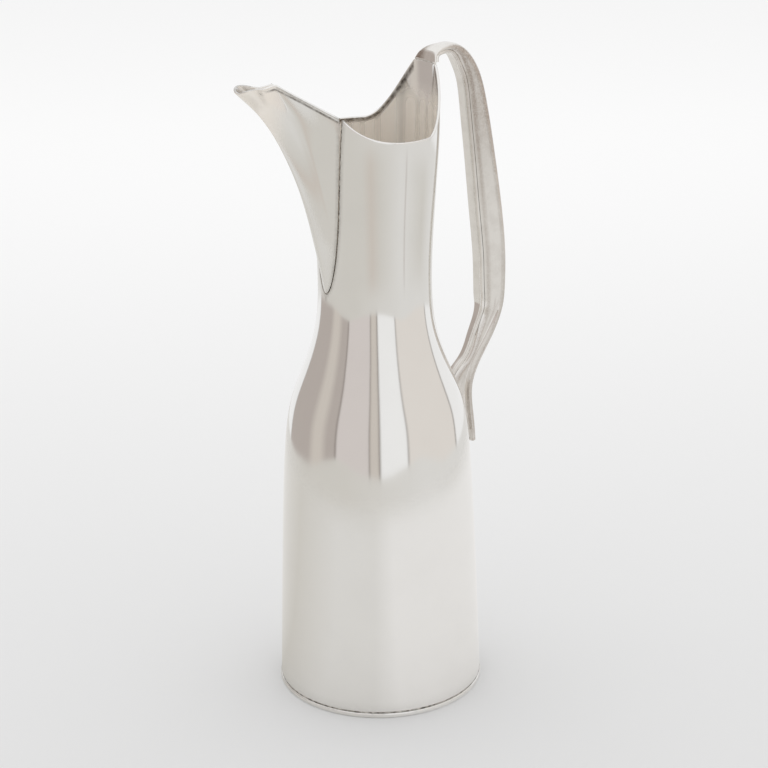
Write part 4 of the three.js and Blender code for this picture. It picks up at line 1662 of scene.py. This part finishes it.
    def world(self) -> None:
        """Sets up the even studio light and the panels that only reflections see."""
        world = bpy.data.worlds.new("studio_light")
        bpy.context.scene.world = world
        world.use_nodes = True
        world.node_tree.nodes.clear()
        bench = NodeBench(world.node_tree)
        way, share = self.bearing(bench, "Generated")
        height = way.outputs["Z"]
        heights = [(at, (0.5 + math.sin(math.radians(up)),) * 3) for at, up in self.hems()]
        hem = self.ramp(bench, heights, share)
        hem.color_ramp.interpolation = "CARDINAL"
        over = bench.maths("SUBTRACT", height, hem.outputs["Color"])
        tables = (self.low_tones(), self.far_tones(), self.panels())
        low, far, band = (self.toned(bench, tones, share) for tones in tables)
        paper = bench.layered(bench.step(height, -0.36, -0.28), low, far)
        edge = bench.step(over, -0.5 - self.hem_softness, -0.5 + self.hem_softness)
        walls = bench.layered(edge, paper, band)
        seen = bench.layered(bench.step(height, 0.42, 0.7), walls, self.ceiling)
        mirrored = bench.add("Background", {"Color": seen}).outputs["Background"]
        light = {"Color": (1.0, 1.0, 1.0, 1.0), "Strength": self.light_strength}
        even = bench.add("Background", light).outputs["Background"]
        glossy = bench.add("LightPath", {}).outputs["Is Glossy Ray"]
        chosen = bench.add("MixShader", {"Fac": glossy, 1: even, 2: mirrored})
        bench.add("OutputWorld", {"Surface": chosen.outputs["Shader"]})

    def floor_material(self) -> bpy.types.Material:
        """Pale paper with painted light falloff, darker at the front and lighter towards the back; reflections
        see it only near the pitcher.

        Returns:
            The material.
        """
        material = bpy.data.materials.new("pale_paper")
        material.use_nodes = True
        material.node_tree.nodes.clear()
        bench = NodeBench(material.node_tree)
        place, share = self.bearing(bench, "Object")
        # Painted falloff of the light, coloured into the paper from front to back.
        back = bench.step(place.outputs["X"], -1.3, 0.35)
        shaded_tone = bench.layered(back, self.lit_floor_back, self.shaded_floor_front)
        near = self.toned(bench, self.near_tones(), share)
        glossy = bench.add("LightPath", {}).outputs["Is Glossy Ray"]
        paper = bench.add("BsdfDiffuse", {"Color": bench.layered(glossy, shaded_tone, near)}).outputs["BSDF"]
        turned = place.inputs["Vector"].links[0].from_socket
        away = bench.add("VectorMath", {0: turned}, operation="LENGTH").outputs["Value"]
        open_edge = bench.maths("MULTIPLY", bench.step(away, self.table_near, self.table_end), glossy)
        clear = bench.add("BsdfTransparent", {}).outputs["BSDF"]
        chosen = bench.add("MixShader", {"Fac": open_edge, 1: paper, 2: clear})
        bench.add("OutputMaterial", {"Surface": chosen.outputs["Shader"]})
        return material

    def floor(self) -> None:
        """Lays the pale floor under the pitcher."""
        Bench.clear()
        bpy.ops.mesh.primitive_plane_add(size=2.0 * self.floor_half, location=(0.0, 0.0, 0.0))
        floor = bpy.context.object
        floor.name = "pale_floor"
        floor.data.materials.append(self.floor_material())

    def lamp(self) -> None:
        """Hangs one large soft lamp above the pitcher, a little behind it."""
        data = bpy.data.lights.new("soft_top_lamp", "AREA")
        data.shape = "RECTANGLE"
        data.size = 1.6
        data.size_y = 1.2
        data.energy = 3.0
        lamp = bpy.data.objects.new("soft_top_lamp", data)
        lamp.location = (0.25, 0.35, 1.5)
        lamp.rotation_euler = Vector((-0.25, -0.35, -1.5)).to_track_quat("-Z", "Y").to_euler()
        lamp.visible_glossy = False
        bpy.context.scene.collection.objects.link(lamp)

    def build(self) -> None:
        """Builds the studio."""
        bpy.context.scene.view_settings.view_transform = "Standard"
        self.camera()
        self.world()
        self.floor()
        self.lamp()


def main() -> None:
    """Builds the pitcher's assemblies in order, then the studio."""
    logging.basicConfig(level=logging.INFO, format="%(name)s %(message)s")
    bottle = Bottle()
    shop = Workshop()
    BaseAssembly(bottle).build(shop)
    BodyAssembly(bottle).build(shop)
    SpoutAssembly(bottle).build(shop)
    HandleAssembly(bottle).build(shop)
    Studio().build()


if __name__ == "__main__":
    main()
